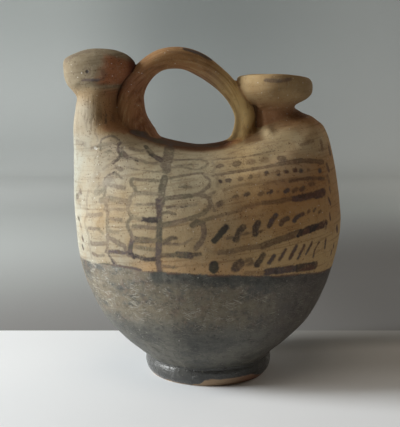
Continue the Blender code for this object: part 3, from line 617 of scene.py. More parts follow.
def edges_of(triangles):
    """Each edge of a triangle mesh once, as pairs of point numbers."""
    pairs = np.concatenate([triangles[:, [0, 1]], triangles[:, [1, 2]], triangles[:, [2, 0]]])
    return np.unique(np.sort(pairs, axis=1), axis=0)


def normals_of(points, triangles):
    """Unit normals at the points: the sum of the face normals, weighted by area."""
    a, b, c = (points[triangles[:, k]] for k in range(3))
    face = np.cross(b - a, c - a)
    total = np.stack([sum(np.bincount(triangles[:, k], face[:, axis], len(points))
                          for k in range(3)) for axis in range(3)], axis=1)
    return total / np.maximum(np.linalg.norm(total, axis=1), 1e-12)[:, None]


def relax(points, edges, weight, rounds):
    """Moves each point towards the mean of its neighbours, by its weight, in several rounds."""
    count = len(points)
    a, b = edges.T
    degree = np.bincount(a, minlength=count) + np.bincount(b, minlength=count)
    share = 0.5 * weight[:, None]
    for _ in range(rounds):
        total = np.stack([np.bincount(a, points[b, k], count) + np.bincount(b, points[a, k], count)
                          for k in range(3)], axis=1)
        points = points + share * (total / degree[:, None] - points)
    return points


def within(points, targets, reach):
    """Which points lie in the targets' box, made larger by reach on every side."""
    return np.all((points > targets.min(0) - reach) & (points < targets.max(0) + reach), axis=1)


def closeness(points, targets, reach):
    """1 at the nearest target, falling evenly with the distance to 0 at reach."""
    found = np.full(len(points), reach)
    inside = np.flatnonzero(within(points, targets, reach))
    for part in np.array_split(inside, max(1, len(inside) // 2000)):
        gap = np.linalg.norm(points[part, None] - targets[None], axis=2).min(axis=1)
        found[part] = np.minimum(found[part], gap)
    return 1 - found / reach


def path_distance(points, path):
    """Distance from each point to a line of straight segments, or to a single point."""
    best = np.full(len(points), np.inf)
    for a, b in zip(path, path[1:] if len(path) > 1 else path):
        along = b - a
        share = np.clip((points - a) @ along / max(along @ along, 1e-12), 0, 1)
        best = np.minimum(best, np.linalg.norm(points - a - share[:, None] * along, axis=1))
    return best


def lift(flat, points, normals, side):
    """Places (x, z) points on the flank that faces the given side: the mean of what the tangent
    planes of the nearest surface points say, of those nearest the viewer. Each weighs one over its
    squared distance."""
    facing, neighbours, layer, softening = 0.08, 8, 4 * MM, (0.3 * MM) ** 2
    cloud = np.flatnonzero(normals[:, 1] * side > facing)
    near_xz, near_y, tilt = points[cloud][:, [0, 2]], points[cloud, 1], normals[cloud]
    made = []
    for part in np.array_split(flat, max(1, len(flat) // 60)):
        gap = ((part[:, None] - near_xz[None]) ** 2).sum(axis=2)
        pick = np.argpartition(gap, neighbours, axis=1)[:, :neighbours]
        gap = np.take_along_axis(gap, pick, axis=1)
        drift = part[:, None] - near_xz[pick]
        slope = tilt[pick, 0] * drift[:, :, 0] + tilt[pick, 2] * drift[:, :, 1]
        guess = near_y[pick] - slope / tilt[pick, 1]
        front = (near_y[pick] * side).max(axis=1, keepdims=True)
        weight = (near_y[pick] * side > front - layer) / (gap + softening)
        made.append((guess * weight).sum(axis=1) / weight.sum(axis=1))
    return np.stack([flat[:, 0], np.concatenate(made), flat[:, 1]], axis=1)


def paint_strokes(points, normals, sizes):
    """Three values at each point: how far inside the nearest brush stroke it is in millimetres
    (half the width less the distance to the stroke's line), that stroke's strength and its tone.
    The hidden flank repeats the broader strokes, each moved a little."""
    reach, shift, parts, turned_away = 4.0, 0.8, 5, -0.25
    depth = np.full(len(points), -reach)
    strength, tone = np.zeros(len(points)), np.zeros(len(points))
    random = np.random.default_rng(11)
    for side in (-1, 1):
        rows = [row for row in BRUSH_STROKES if side < 0 or row[0] >= sizes.least_hidden_width]
        lines = []
        for _, _, _, *places in rows:
            places = np.reshape(places, (-1, 2)) * MM
            last = len(places) - 1
            lines.append(rows_at(places, np.linspace(0, last, parts * last + 1)))
        if side > 0:
            lines = [line + random.uniform(-shift, shift, 2) * MM for line in lines]
        placed = np.split(lift(np.concatenate(lines), points, normals, side),
                          np.cumsum([len(line) for line in lines])[:-1])
        facing = np.flatnonzero(normals[:, 1] * side > turned_away)
        for (width, strong, colour, *_), path in zip(rows, placed):
            close = facing[within(points[facing], path, (width / 2 + reach) * MM)]
            inside = width / 2 - path_distance(points[close], path) / MM
            better = inside > depth[close]
            chosen = close[better]
            depth[chosen], strength[chosen], tone[chosen] = inside[better], strong, colour
    return depth, strength, tone


class Value:
    """One output of a node, with the arithmetic of Math nodes."""

    def __init__(self, finish, socket):
        self.finish, self.socket = finish, socket

    def _math(self, operation, *terms):
        return self.finish.node("ShaderNodeMath", {"operation": operation}, dict(enumerate(terms)))

    def __add__(self, other):
        return self._math("ADD", self, other)

    __radd__ = __add__

    def __sub__(self, other):
        return self._math("SUBTRACT", self, other)

    def __rsub__(self, other):
        return self._math("SUBTRACT", other, self)

    def __mul__(self, other):
        return self._math("MULTIPLY", self, other)

    __rmul__ = __mul__

    def __truediv__(self, other):
        return self._math("DIVIDE", self, other)

    def __rtruediv__(self, other):
        return self._math("DIVIDE", other, self)


class Finish:
    """A material's nodes. Lengths inside it are millimetres."""

    def __init__(self, name):
        self.material = bpy.data.materials.new(name)
        self.material.use_nodes = True
        self.tree = self.material.node_tree
        self.tree.nodes.clear()

    def node(self, kind, settings=None, inputs=None, output=0):
        """Adds a node: its settings first, then what feeds its sockets. Gives one output."""
        made = self.tree.nodes.new(kind)
        for key, value in (settings or {}).items():
            if key == "stops":
                for number, (place, colour) in enumerate(value):
                    stops = made.color_ramp.elements
                    stop = stops[number] if number < 2 else stops.new(place)
                    stop.position, stop.color = place, (*colour, 1)
            else:
                setattr(made, key, value)
        for key, value in (inputs or {}).items():
            fed = made.inputs[key]
            if isinstance(value, Value):
                self.tree.links.new(value.socket, fed)
            else:
                fed.default_value = (*value[:3], 1) if fed.type == "RGBA" else value
        return Value(self, made.outputs[output]) if len(made.outputs) else None

    def place(self):
        """Object coordinates in millimetres."""
        where = self.node("ShaderNodeTexCoord", output="Object")
        return self.node("ShaderNodeVectorMath", {"operation": "SCALE"}, {0: where, "Scale": 1 / MM})

    def axes(self, where):
        """The three numbers of a vector."""
        split = self.node("ShaderNodeSeparateXYZ", None, {0: where}).socket.node
        return tuple(Value(self, output) for output in split.outputs)

    def vector(self, x, y, z):
        """A vector from three numbers."""
        return self.node("ShaderNodeCombineXYZ", None, {0: x, 1: y, 2: z})

    def stretch(self, where, factors):
        """A vector times a factor for each axis."""
        return self.node("ShaderNodeVectorMath", {"operation": "MULTIPLY"}, {0: where, 1: factors})

    def noise(self, where, size, detail, rough=0.5):
        """Noise from 0 to 1 whose features are about size millimetres wide."""
        return self.node("ShaderNodeTexNoise", None,
                         {"Vector": where, "Scale": 1 / size, "Detail": detail, "Roughness": rough})

    def smooth(self, value, low, high):
        """0 below low, 1 above high, an S curve between."""
        return self.node("ShaderNodeMapRange", {"interpolation_type": "SMOOTHSTEP"},
                         {"Value": value, "From Min": low, "From Max": high})

    def blend(self, share, a, b):
        """The colour a where share is 0 and b where it is 1."""
        return self.node("ShaderNodeMix", {"data_type": "RGBA"}, {0: share, 6: a, 7: b}, output=2)

    def darken(self, colour, share, by):
        """A colour multiplied by another, as far as share says."""
        return self.node("ShaderNodeMix", {"data_type": "RGBA", "blend_type": "MULTIPLY"},
                         {0: share, 6: colour, 7: by}, output=2)

    def stored(self, name):
        """A value stored at the mesh's points."""
        return self.node("ShaderNodeAttribute", {"attribute_name": name}, output="Fac")

    def away(self, where, centre):
        """The distance of a place from a point."""
        return self.node("ShaderNodeVectorMath", {"operation": "DISTANCE"}, {0: where, 1: centre},
                         output="Value")

    def dot(self, where, centre, radius, edge):
        """1 within radius of a point, falling to 0 over edge."""
        return self.smooth(self.away(where, centre), radius + edge, radius)

    def bent(self, where):
        """A place moved up to 3 millimetres by a soft noise, for edges that aren't geometric."""
        bend = self.node("ShaderNodeTexNoise", None, {"Vector": where, "Scale": 0.35, "Detail": 3.0},
                         output="Color")
        return self.node("ShaderNodeVectorMath", {"operation": "MULTIPLY_ADD"},
                         {0: bend, 1: (3.0, 3.0, 3.0), 2: where})

    def scratches(self, where, lean, reach):
        """Fine straight streaks at one lean to the level, in radians: high places of a noise drawn
        out to a reach in millimetres."""
        x, y, z = self.axes(where)
        c, d = math.cos(lean), math.sin(lean)
        drawn = self.vector((x * c + z * d) / reach, y / reach, (z * c - x * d) / 0.7)
        return self.smooth(self.noise(drawn, 1.0, 2), 0.56, 0.68)

    def squiggles(self, where, size, width):
        """1 on winding lines, where noise of that size passes its middle value."""
        level = self.noise(where, size, 1) - 0.5
        return self.smooth(level * level, width * width, 0.0)

    def specks(self, where, size, share):
        """1 on scattered grains about size apart, share of that wide."""
        away = self.node("ShaderNodeTexVoronoi", {"feature": "F1"},
                         {"Vector": where, "Scale": 1 / size})
        return self.smooth(away, share, share * 0.5)

    def surface(self, colour, roughness, height, strength):
        """Ends the material in a Principled BSDF, with bump from a height in millimetres."""
        normal = self.node("ShaderNodeBump", None,
                           {"Strength": strength, "Distance": MM, "Height": height})
        shader = self.node("ShaderNodeBsdfPrincipled", None, {
            "Base Color": colour, "Roughness": roughness, "Metallic": 0.0, "Normal": normal})
        self.node("ShaderNodeOutputMaterial", None, {"Surface": shader})
        return self.material


def askos_finish(look, sizes):
    """Fired buff clay, its brush paint, the dark slip of the lower body and the wear of both. Masks
    are shares from 0 to 1, and the numbers that place them are millimetres."""
    f = Finish("fired_clay")
    smooth, blend, darken, noise, dot = f.smooth, f.blend, f.darken, f.noise, f.dot
    where = f.place()
    bent_where = f.bent(where)
    x, y, z = f.axes(where)
    broad, mottle, blotch = noise(where, 38, 3), noise(where, 9, 5, 0.6), noise(where, 3.4, 3, 0.6)
    grain, fine = noise(where, 1.2, 4, 0.65), noise(where, 0.5, 2)
    sway, ripple, grit, dust = (level - 0.5 for level in (mottle, blotch, grain, fine))
    limb, joint, stroke, laid, tone = (f.stored(name) for name in (
        "limb", "joint", "paint", "strength", "tone"))
    handle, cup, body = smooth(limb, 0.2, 0.8), smooth(limb, -0.2, -0.8), smooth(limb * limb, 0.5, 0.1)
    darkening = look.clay_stain_and_shade

    # how far below the slip's wavering upper line, which dips towards the tail
    wavering = (noise(where, 14, 2) - 0.5) * 2.0
    depth = sizes.slip_level / MM - x * sizes.slip_dip - x * x * 0.0004 + wavering - z

    # bare clay: creamy at the breast, browner towards the tail, paler on the shoulder; the cream on the
    # window-lit breast and the brown on the shaded tail side are partly painted light and shade
    wide = (broad - 0.5) * 60 + sway * 30
    along = x + wide
    clay = blend(smooth(along, -84, -40), look.clay_cream, look.clay_buff)
    clay = blend(smooth(along, -25, 40), clay, look.clay_brown)
    pale = blend(smooth(x, -12, 22), look.clay_pale, look.clay_straw)
    shoulder = smooth(z - x * 0.4 + wide * 0.2, 100, 127) * smooth(x, -62, -30) * smooth(z, 153, 145)
    clay = blend(shoulder * body * 0.9, clay, pale)
    low_left = smooth(z, 106, 84) * smooth(x, -24, -48) * body
    clay = darken(clay, low_left * 0.5, look.clay_shade)
    low_right = smooth(z + wide * 0.2, 100, 84) * smooth(x, 2, 24) * body
    clay = blend(low_right * 0.6, clay, look.clay_straw)
    glow = smooth(depth + sway * 8, -11, -3) * smooth(x, -52, -40) * smooth(x, 30, 10)
    clay = blend(glow * 0.45, clay, look.clay_orange)
    russet = dot(f.stretch(bent_where, (0.8, 0.3, 1.0)), (37.0, -6.0, 122.0), 7.0, 15.0)
    clay = darken(clay, russet * (0.55 + sway * 1.2), look.clay_russet)
    raised = smooth(z, 141, 150) * smooth(x, -30, -42)
    clay = blend(raised * 0.9, clay, look.clay_tan)
    upper = smooth(x, 12, 30) * smooth(x + sway * 10, 62, 46) * body
    upper = upper * smooth(z + sway * 14, 110, 130) * smooth(z, 152, 144)
    clay = blend(upper * 0.42, clay, look.clay_pale)
    # painted shade: the breast darker, and its left rim darker still, where the window light grazes it
    breast = smooth(x + sway * 6, -58, -70) * smooth(z, 96, 112)
    clay = darken(clay, breast * 0.32, look.clay_shade)
    clay = darken(clay, smooth(x, -69, -80) * smooth(z, 92, 110) * 0.5, look.clay_shade)
    clay = blend(dot(where, (57, -22, 140), 7, 9) * 0.4, clay, look.clay_pale)
    clay = blend(dot(where, (-58, -26, 128), 9, 9) * 0.4, clay, look.clay_cream)
    # the top of the tail hump darker and redder: russet clay, and painted shade beside the cup
    hump = smooth(x, 34, 52) * smooth(z + sway * 12, 140, 150) * body
    clay = darken(clay, hump * 0.5, look.clay_russet)
    # the cup's shadow painted on the hump below it
    painted_cup_shadow = smooth(z - x * 0.36 + sway * 5, 131.5, 134.0) * smooth(x, 30, 36) * smooth(y, 6, 0)
    clay = darken(clay, painted_cup_shadow * body * 0.55, darkening)
    clay = blend(raised * smooth(z + ripple * 3, 168, 173) * 0.85, clay, look.clay_olive)
    # the neck's window-lit left side creamier, partly painted light
    nape = raised * smooth(z, 168, 158) * smooth(x + sway * 8, -64, -73)
    clay = blend(nape * 0.45, clay, look.clay_cream)
    clay = darken(clay, raised * 0.22, look.clay_shade)

    # the cup and the handle
    clay = blend(cup, clay, look.clay_tan)
    # the cup's window-lit left side paler: painted light
    clay = blend(cup * smooth(x - (z - 175) * 0.5, 40, 16) * 0.6, clay, look.clay_straw)
    stem, top = cup * smooth(z, 165, 156), handle * smooth(z + sway * 14, 174, 186)
    clay = blend(stem * 0.6 + handle * smooth(x, 12, -18) * 0.8, clay, look.clay_red)
    clay = blend(top * 0.6, clay, look.clay_umber)
    # the handle's leg beside the cup ochre, partly a painted highlight where the window light falls on
    # it
    clay = blend(handle * smooth(x, 0, 16) * 0.85, clay, look.clay_ochre)

    # the reddish back of the head; the neck's shaded right half and its root beside the handle made
    # redder and darker as painted shade
    back, fore = x + ripple * 4.0, smooth(x, -30, -36)
    root = smooth(z + x * 0.12 + ripple * 3, 138.2, 140.4)
    red = smooth(back - (z - 178) * 0.25 + sway * 5, -66.5, -59.5) * smooth(z, 171, 174)
    red = red * smooth(z + x * 0.25, 176, 172.5)
    red = red + smooth(back + sway * 6, -67, -59) * smooth(z, 172, 168) * root * 0.75
    clay = blend(red * fore * (1 - handle) * 0.95, clay, look.clay_red)
    clay = darken(clay, root * smooth(x, -62, -55) * fore * smooth(z, 158, 150) * 0.30, darkening)

    clay = darken(clay, smooth(mottle, 0.5, 0.75) * 0.35, look.clay_mottle)
    clay = blend(smooth(grain, 0.5, 0.75) * 0.25, clay, look.clay_cream)
    clay = darken(clay, smooth(blotch, 0.52, 0.78) * 0.30, darkening)

    # paring streaks up the neck, brush lines along the back, streaks round the handle
    neck = smooth(z, 140, 150) * smooth(x, -42, -50) * smooth(z, 170, 163)
    pared = neck * smooth(noise(f.stretch(where, (0.6, 0.6, 0.05)), 1.0, 3, 0.6), 0.5, 0.7)
    lines = noise(f.vector(x * 0.03, y * 0.03, (z - x * 0.13) * 0.62), 1.0, 3, 0.6)
    out = f.away(f.stretch(where, (1, 0, 1)), (-18, 0, 150))
    arched = noise(f.vector(out * 0.55, y * 0.55, (x + z) * 0.035), 1.0, 4, 0.6)
    clay = darken(clay, pared * 0.28, darkening)
    lined = smooth(lines, 0.5, 0.72) * (1 - neck) * (1 - handle)
    clay = darken(clay, lined * (0.40 - cup * 0.18), darkening)
    clay = darken(clay, handle * smooth(arched, 0.48, 0.66) * 0.50, darkening)

    # the painted shadow beside the handle's foot, its toe, and painted shade on the back under the arch
    painted_leg_shadow = smooth(z - (x - 15) * 0.22 + dust * 0.8, 137.3, 138.5)
    painted_leg_shadow = painted_leg_shadow * smooth(x - (z - 139.5) * 0.62, 17.2, 19.8)
    painted_leg_shadow = painted_leg_shadow * smooth(x + (z - 140) * 0.1, 31.5, 26.5) * smooth(z, 158, 152)
    clay = darken(clay, painted_leg_shadow * smooth(y, 4, -2) * 0.85, darkening)
    # the neck's right part browner, partly painted shade
    clay = blend(neck * smooth(x + sway * 5, -69, -64) * 0.35, clay, look.clay_umber)
    clay = blend(dot(where, (13.2, -13.5, 138.6), 4.2, 1.8) * 0.8, clay, look.clay_toe)
    # painted shade in the toe's pressed dimple
    clay = darken(clay, dot(where, (13.4, -10.8, 139.8), 0.9, 1.1) * 0.8, look.dirt_and_shade)
    clay = blend(handle * smooth(arched, 0.46, 0.34) * 0.30, clay, look.clay_straw)
    # painted shade on the top of the back under the arch
    painted_saddle_shade = smooth(y * y, 430, 200) * smooth(z, 128, 134) * smooth(x, -50, -44) * smooth(x, 20, 8)
    clay = darken(clay, painted_saddle_shade * body, darkening)
    clay = darken(clay, painted_saddle_shade * body * 0.9, look.clay_russet)

    # grains, pores, hair cracks, and darker joints with painted shade in the slit and the webs
    pores = f.specks(where, 1.7, 0.26) * smooth(noise(where, 8, 3), 0.42, 0.60) * body
    pits = f.specks(where, 5.5, 0.09) * body
    crazed = f.squiggles(where, 1.9, 0.05) * smooth(noise(where, 4.2, 4, 0.6), 0.52, 0.66)
    clay = darken(clay, crazed * (0.25 + body * 0.25), darkening)
    clay = darken(clay, pores * 0.75 + pits * 0.7, darkening)
    freckled = smooth(noise(where, 1.3, 4, 0.7), 0.55, 0.66) * smooth(noise(where, 6, 3), 0.42, 0.56)
    freckled = freckled * body * smooth(x, -66, -50) * smooth(x, 40, 15)
    clay = darken(clay, freckled * 0.38, darkening)
    # darker near the joints; near black, as painted shade, on the slit beside the neck and on the webs
    # that close the narrow gaps
    clay = darken(clay, smooth(joint, 0.3, 1.0) * 0.45, darkening)
    clay = darken(clay, smooth(joint, 0.8, 1.0) * 0.55, look.dirt_and_shade)
    clay = blend(f.specks(where, 4.1, 0.10) * 0.6, clay, look.salts_and_glints)
    for speck in CHEST_SPECKS:
        clay = blend(dot(where, speck, 0.6, 0.4) * 0.9, clay, look.salts_and_glints)

    # brush paint, with soft ragged edges, worn places and pooled edges; strong strokes wear less
    wander = (noise(where, 5.5, 2) - 0.5) * 1.3 + (noise(where, 1.9, 2) - 0.5) * 1.1 + dust * 0.7
    inside, strong = smooth(stroke + wander, -0.60, 0.65), smooth(laid, 0.75, 1.0)
    worn = 1 - smooth(noise(where, 3.2, 4, 0.65), 0.50, 0.72) * 0.42
    worn = worn * (1 - smooth(noise(where, 1.2, 3, 0.6), 0.50, 0.66) * 0.30)
    worn = strong * 0.5 * (1 - worn) + worn
    thin_middle = smooth(stroke, 0.30, 1.15) * smooth(mottle, 0.40, 0.60) * body
    pooled = 1 - thin_middle * (0.24 - strong * 0.2)
    cover = inside * laid * worn * pooled * 1.12
    below_head = smooth(z, 148, 143)
    darker = tone * 0.5 + sway * 0.5 + ripple * 0.6 + smooth(x, 20, -15) * below_head * 0.25
    darker = darker + smooth(laid, 0.8, 1.0) * (
        smooth(x, -20, 10) * 0.25 + smooth(blotch, 0.45, 0.60) * 0.30)
    paint = f.node("ShaderNodeValToRGB", {"stops": (
        (0.0, look.paint_brown), (0.5, look.paint_grey), (1.0, look.paint_black))}, {"Fac": darker})
    thinned = smooth(x, -5, 20) * smooth(laid, 0.80, 0.35) * 0.8
    thinned = thinned + smooth(x, 15, 50) * smooth(mottle, 0.58, 0.44) * 0.6
    paint = blend(thinned, paint, look.paint_rust)
    greenish = smooth(noise(where, 11, 3), 0.50, 0.60) * smooth(x, 10, -12) * below_head
    paint = blend(greenish * 0.75, paint, look.paint_olive)
    painted = blend(cover, clay, paint)

    # the eye: a dark dot in a ring of fine dots, with a painted highlight before it
    ring = dot(where, EYE, 2.3, 0.8) * (1 - dot(where, EYE, 1.2, 0.5)) * smooth(grain, 0.38, 0.6)
    pupil = dot(where, EYE, 0.8, 0.6)
    painted = blend(ring * 0.5, painted, look.paint_brown)
    painted = blend(pupil * 0.95, painted, look.paint_black)
    painted = blend(dot(where, EYE_HIGHLIGHT, 0.45, 0.3) * 0.8, painted, look.salts_and_glints)

    # dark slip: brushed and patchy, thick and greenish in a band at the breast, thin on the left
    slipped = smooth(depth + dust * 1.6 + grit * 1.6, -0.7, 0.6)
    brushed = noise(f.stretch(where, (0.05, 0.05, 0.55)), 1.0, 4, 0.7)
    patches = noise(f.stretch(where, (0.6, 0.6, 1.0)), 13, 6, 0.68)
    band = smooth(depth + ripple * 5, 8.5, 3.0) * smooth(x + sway * 6, -42, -37)
    thin = (1 - band) * smooth(depth + (patches - 0.5) * 26, 36, 25)
    thin = thin * (1 - smooth(x + wide * 0.4, 8, 44) * 0.75)
    slip = blend(smooth(patches, 0.40, 0.60), look.slip_dark, look.slip_worn)
    slip = blend(thin * smooth(patches + ripple * 0.5, 0.32, 0.58) * 0.9, slip, look.slip_brown)
    slip = blend(band * smooth(blotch + sway * 1.2, 0.30, 0.52) * 0.9, slip, look.slip_green)
    slip = blend(smooth(x + wide * 0.5, 12, 50) * 0.7, slip, look.slip_plum)
    slip = darken(slip, smooth(brushed, 0.50, 0.72) * 0.35, look.slip_stain)
    slip = darken(slip, smooth(blotch, 0.48, 0.72) * 0.45, look.slip_stain)
    slip = blend(smooth(noise(where, 5.5, 3), 0.5, 0.66) * thin * 0.35, slip, look.slip_rust)
    clouded = noise(where, 4.2, 5, 0.7)
    slip = darken(slip, smooth(clouded, 0.52, 0.62) * 0.55, look.slip_stain)
    slip = blend(smooth(clouded, 0.46, 0.36) * thin * 0.35, slip, look.slip_pale)

    # scratches and scuffs, pale specks painted as glints, the rusty upper edge, the divider's foot and
    # a rubbed place
    scratched = smooth(noise(where, 6.5, 4, 0.65), 0.44, 0.62)
    winding = f.squiggles(f.stretch(where, (0.8, 0.8, 1.2)), 2.6, 0.045) * scratched * 0.4
    hairs = (f.scratches(where, 0.35, 6.5) + f.scratches(where, -0.45, 5.0)) * scratched + winding
    short = f.scratches(where, 1.35, 3.5) * smooth(noise(where, 2.6, 3), 0.50, 0.62)
    scuffs = smooth(noise(where, 1.3, 5, 0.75), 0.56, 0.70)
    slip = blend(scuffs * (0.22 + thin * 0.40), slip, look.slip_scratch)
    slip = blend((hairs * 0.8 + short * 0.55) * (0.25 + thin * 0.75), slip, look.slip_scratch)
    scored = f.scratches(f.stretch(where, (1, 1, -1)), 0.2, 8.0) * smooth(mottle, 0.44, 0.60)
    slip = darken(slip, scored * 0.6, look.slip_stain)
    # pale specks on the slip: painted glints
    slip = blend(f.specks(where, 6.5, 0.08) * 0.35, slip, look.salts_and_glints)
    rusty = smooth(depth, 1.7, 0.3) * smooth(x, -50, -36) * smooth(mottle, 0.40, 0.52)
    slip = blend(rusty * 0.6, slip, look.paint_rust)
    divider = smooth(x, -38.6, -36.8) * smooth(x, -32.0, -34.4) * smooth(depth, 9, 5.5)
    divider = divider * smooth(y, 0, -5)
    slip = blend(divider * 0.75, slip, look.slip_green)
    rubbed = dot(f.stretch(bent_where, (0.45, 1.0, 1.6)), (-2.9, -43.0, 27.4), 1.2, 1.2)
    slip = blend(rubbed * 0.8, slip, look.clay_buff)

    # the foot keeps a blacker, glossier slip over a bare strip at its front edge
    on_foot = smooth(z + grit * 1.5, 13.0, 10.5)
    slip = blend(on_foot * 0.8, slip, look.slip_foot)
    slip = blend(on_foot * scuffs * 0.3, slip, look.slip_scratch)
    reach = smooth(x + (noise(where, 9, 2) - 0.5) * 14, -16, -3) * smooth(x, 33, 18)
    reach = reach * smooth(y, -18, -30)
    bare = smooth(z - 0.5 - reach * 4.4 + (noise(where, 6, 3) - 0.5) * 2.6, 0.5, -0.4)
    bare_clay = blend(smooth(x + sway * 30, 2, 22), look.foot_clay, look.foot_red)
    slip = blend(bare * 0.92, slip, bare_clay)

    matte = 0.86 - slipped * (1 - bare) * (0.34 + on_foot * 0.32)
    uneven = (patches - 0.5) * 0.7 + scuffs * 0.12 + divider * 0.15 + band * 0.08
    rough = matte + sway * 0.25 + grit * 0.15 + uneven * slipped * (1 - on_foot)
    height = (grit * 0.16 + ripple * 0.16 + dust * 0.06 - pits * 0.25 - pores * 0.12
              - pupil * 0.6 - ring * 0.12 - pared * 0.22 - (lines - 0.5) * 0.10
              + (brushed - 0.5) * slipped * 0.16 - hairs * slipped * 0.12 - scuffs * slipped * 0.06
              - crazed * (1 - slipped) * 0.06 + ripple * on_foot * 0.5)
    return f.surface(blend(slipped, painted, slip), rough, height, 0.9)


def stage_finish(name, colour, roughness, near=None):
    """Matte paper with a faint fibre and broad uneven tone; on the table's sheet the vessel's shadow is
    painted at its right, deeper towards the back. With a colour for the ground near the table's sheet
    it is the backdrop, which darkens upwards, has a painted lighter band along its bend, is darkened
    towards the right as painted shade, and has its ground near the sheet painted dark as shade, darker
    to the right."""
    f = Finish(name)
    smooth, blend, darken = f.smooth, f.blend, f.darken
    where = f.place()
    x, y, z = f.axes(where)
    if near is None:
        # the vessel's shadow painted on the sheet at its right, deeper towards the back
        shaded = smooth(x, 15, 75) * smooth(y, -48, -6)
        colour = darken(colour, shaded * 0.9, (0.68, 0.66, 0.63))
        colour = darken(colour, shaded * smooth(y, 12, 42) * 0.9, (0.38, 0.37, 0.35))
    else:
        colour = darken(colour, smooth(z, 110, 330) * 0.5, (0.55, 0.56, 0.55))
        # a painted lighter band along the backdrop's bend
        lit = smooth(y, 620, 880) * smooth(y, 1200, 1040)
        colour = blend(lit * 0.55, colour, (0.80, 0.83, 0.82))
        # painted shade: darker towards the right, eased again far to the right
        colour = darken(colour, smooth(x, -120, 130) * 0.64, (0.44, 0.46, 0.465))
        colour = blend(smooth(x, 200, 620) * 0.5, colour, (0.55, 0.57, 0.56))
        # the ground near the sheet: painted shade, darker towards the right as the vessel's painted
        # shadow
        near = darken(near, smooth(x, -20, 160) * 0.75, (0.45, 0.44, 0.42))
        colour = blend(smooth(y - smooth(x, 0, 160) * 230, 40, 440), near, colour)
    colour = darken(colour, smooth(f.noise(where, 160, 2), 0.3, 0.8) * 0.08, (0.8, 0.8, 0.8))
    height = (f.noise(where, 1.2, 3) - 0.5) * 0.05
    return f.surface(colour, roughness, height, 0.5)


def number(name, description, default, **more):
    """A number property, not below 0 unless a least value is given."""
    return bpy.props.FloatProperty(name=name, description=description, default=default,
                                   **{"min": 0.0, **more})


def length(name, description, default):
    """A length property in metres."""
    return number(name, description, default, unit="LENGTH", precision=4)


def power(name, description, default):
    """A lamp's strength."""
    return number(name, description, default, subtype="POWER", unit="POWER")


def spot(name, description, default):
    """A place in metres."""
    return bpy.props.FloatVectorProperty(name=name, description=description, default=default, size=3,
                                         subtype="TRANSLATION", unit="LENGTH")


def shade(name, description, default):
    """A colour property."""
    return bpy.props.FloatVectorProperty(name=name, description=description, default=default, size=3,
                                         subtype="COLOR", min=0.0, max=1.0)


class AskosSizes(bpy.types.PropertyGroup):
    """Sizes of the vessel."""

    body_length: length("Body length", "Length that the outline's shares refer to", 0.161)
    body_depth: length("Body depth", "Depth of the body from flank to flank", HIGH.y - LOW.y)
    crown_height: length("Crown height", "Height of the top of the head", 0.1932)
    wall: length("Wall", "Thickness of the clay wall", 0.005)
    floor_thickness: length("Floor", "Height of the hollow's flat floor above the table", 0.0145)
    foot_radius: length("Foot radius", "Radius of the disc foot", 0.0384)
    foot_height: length("Foot height", "Height of the disc foot", 0.0105)
    foot_edge: length("Foot edge", "How far the foot's lower edge draws in", 0.0028)
    foot_joint_inset: length("Foot joint", "How far the body starts inside the foot", 0.001)
    neck_depth: length("Neck depth", "Depth of the neck", 0.0275)
    head_depth: length("Head depth", "Depth of the head", 0.028)
    handle_thickness: length("Handle thickness", "Thickness of the strap", 0.013)
    handle_width: length("Handle width", "Width of the strap", 0.0155)
    cup_x: length("Cup place", "Distance of the cup's axis from the foot's centre", 0.0393645)
    cup_radius: length("Cup radius", "Outer radius of the filling cup", 0.0227)
    cup_depth: length("Cup depth", "Depth of the cup's outside", 0.019)
    cup_lip: length("Cup lip", "Thickness of the cup's wall at the lip", 0.0036)
    stem_radius: length("Stem radius", "Outer radius of the stem", 0.0112)
    bore_radius: length("Bore radius", "Radius of the channel through the stem", 0.0065)
    web_thickness: length("Web thickness", "Size along the body of the clay in the narrow gaps", 0.007)
    web_depth: length("Web depth", "Size across the body of the clay in the narrow gaps", 0.0075)
    unevenness: length("Unevenness", "Height of the hand-made bumps in the surface", 0.00035)
    joint_reach: length("Joint reach", "How far the clay is smeared out at the joints", 0.0055)
    slip_level: length("Slip level", "Height of the dark slip's upper line at the middle", 0.0710)
    slip_dip: number("Slip dip", "Fall of the slip line per length towards the tail", 0.055, max=0.5)
    least_hidden_width: number("Least hidden stroke", "Narrowest stroke repeated on the hidden flank, "
                               "in millimetres", 1.4, max=10.0)


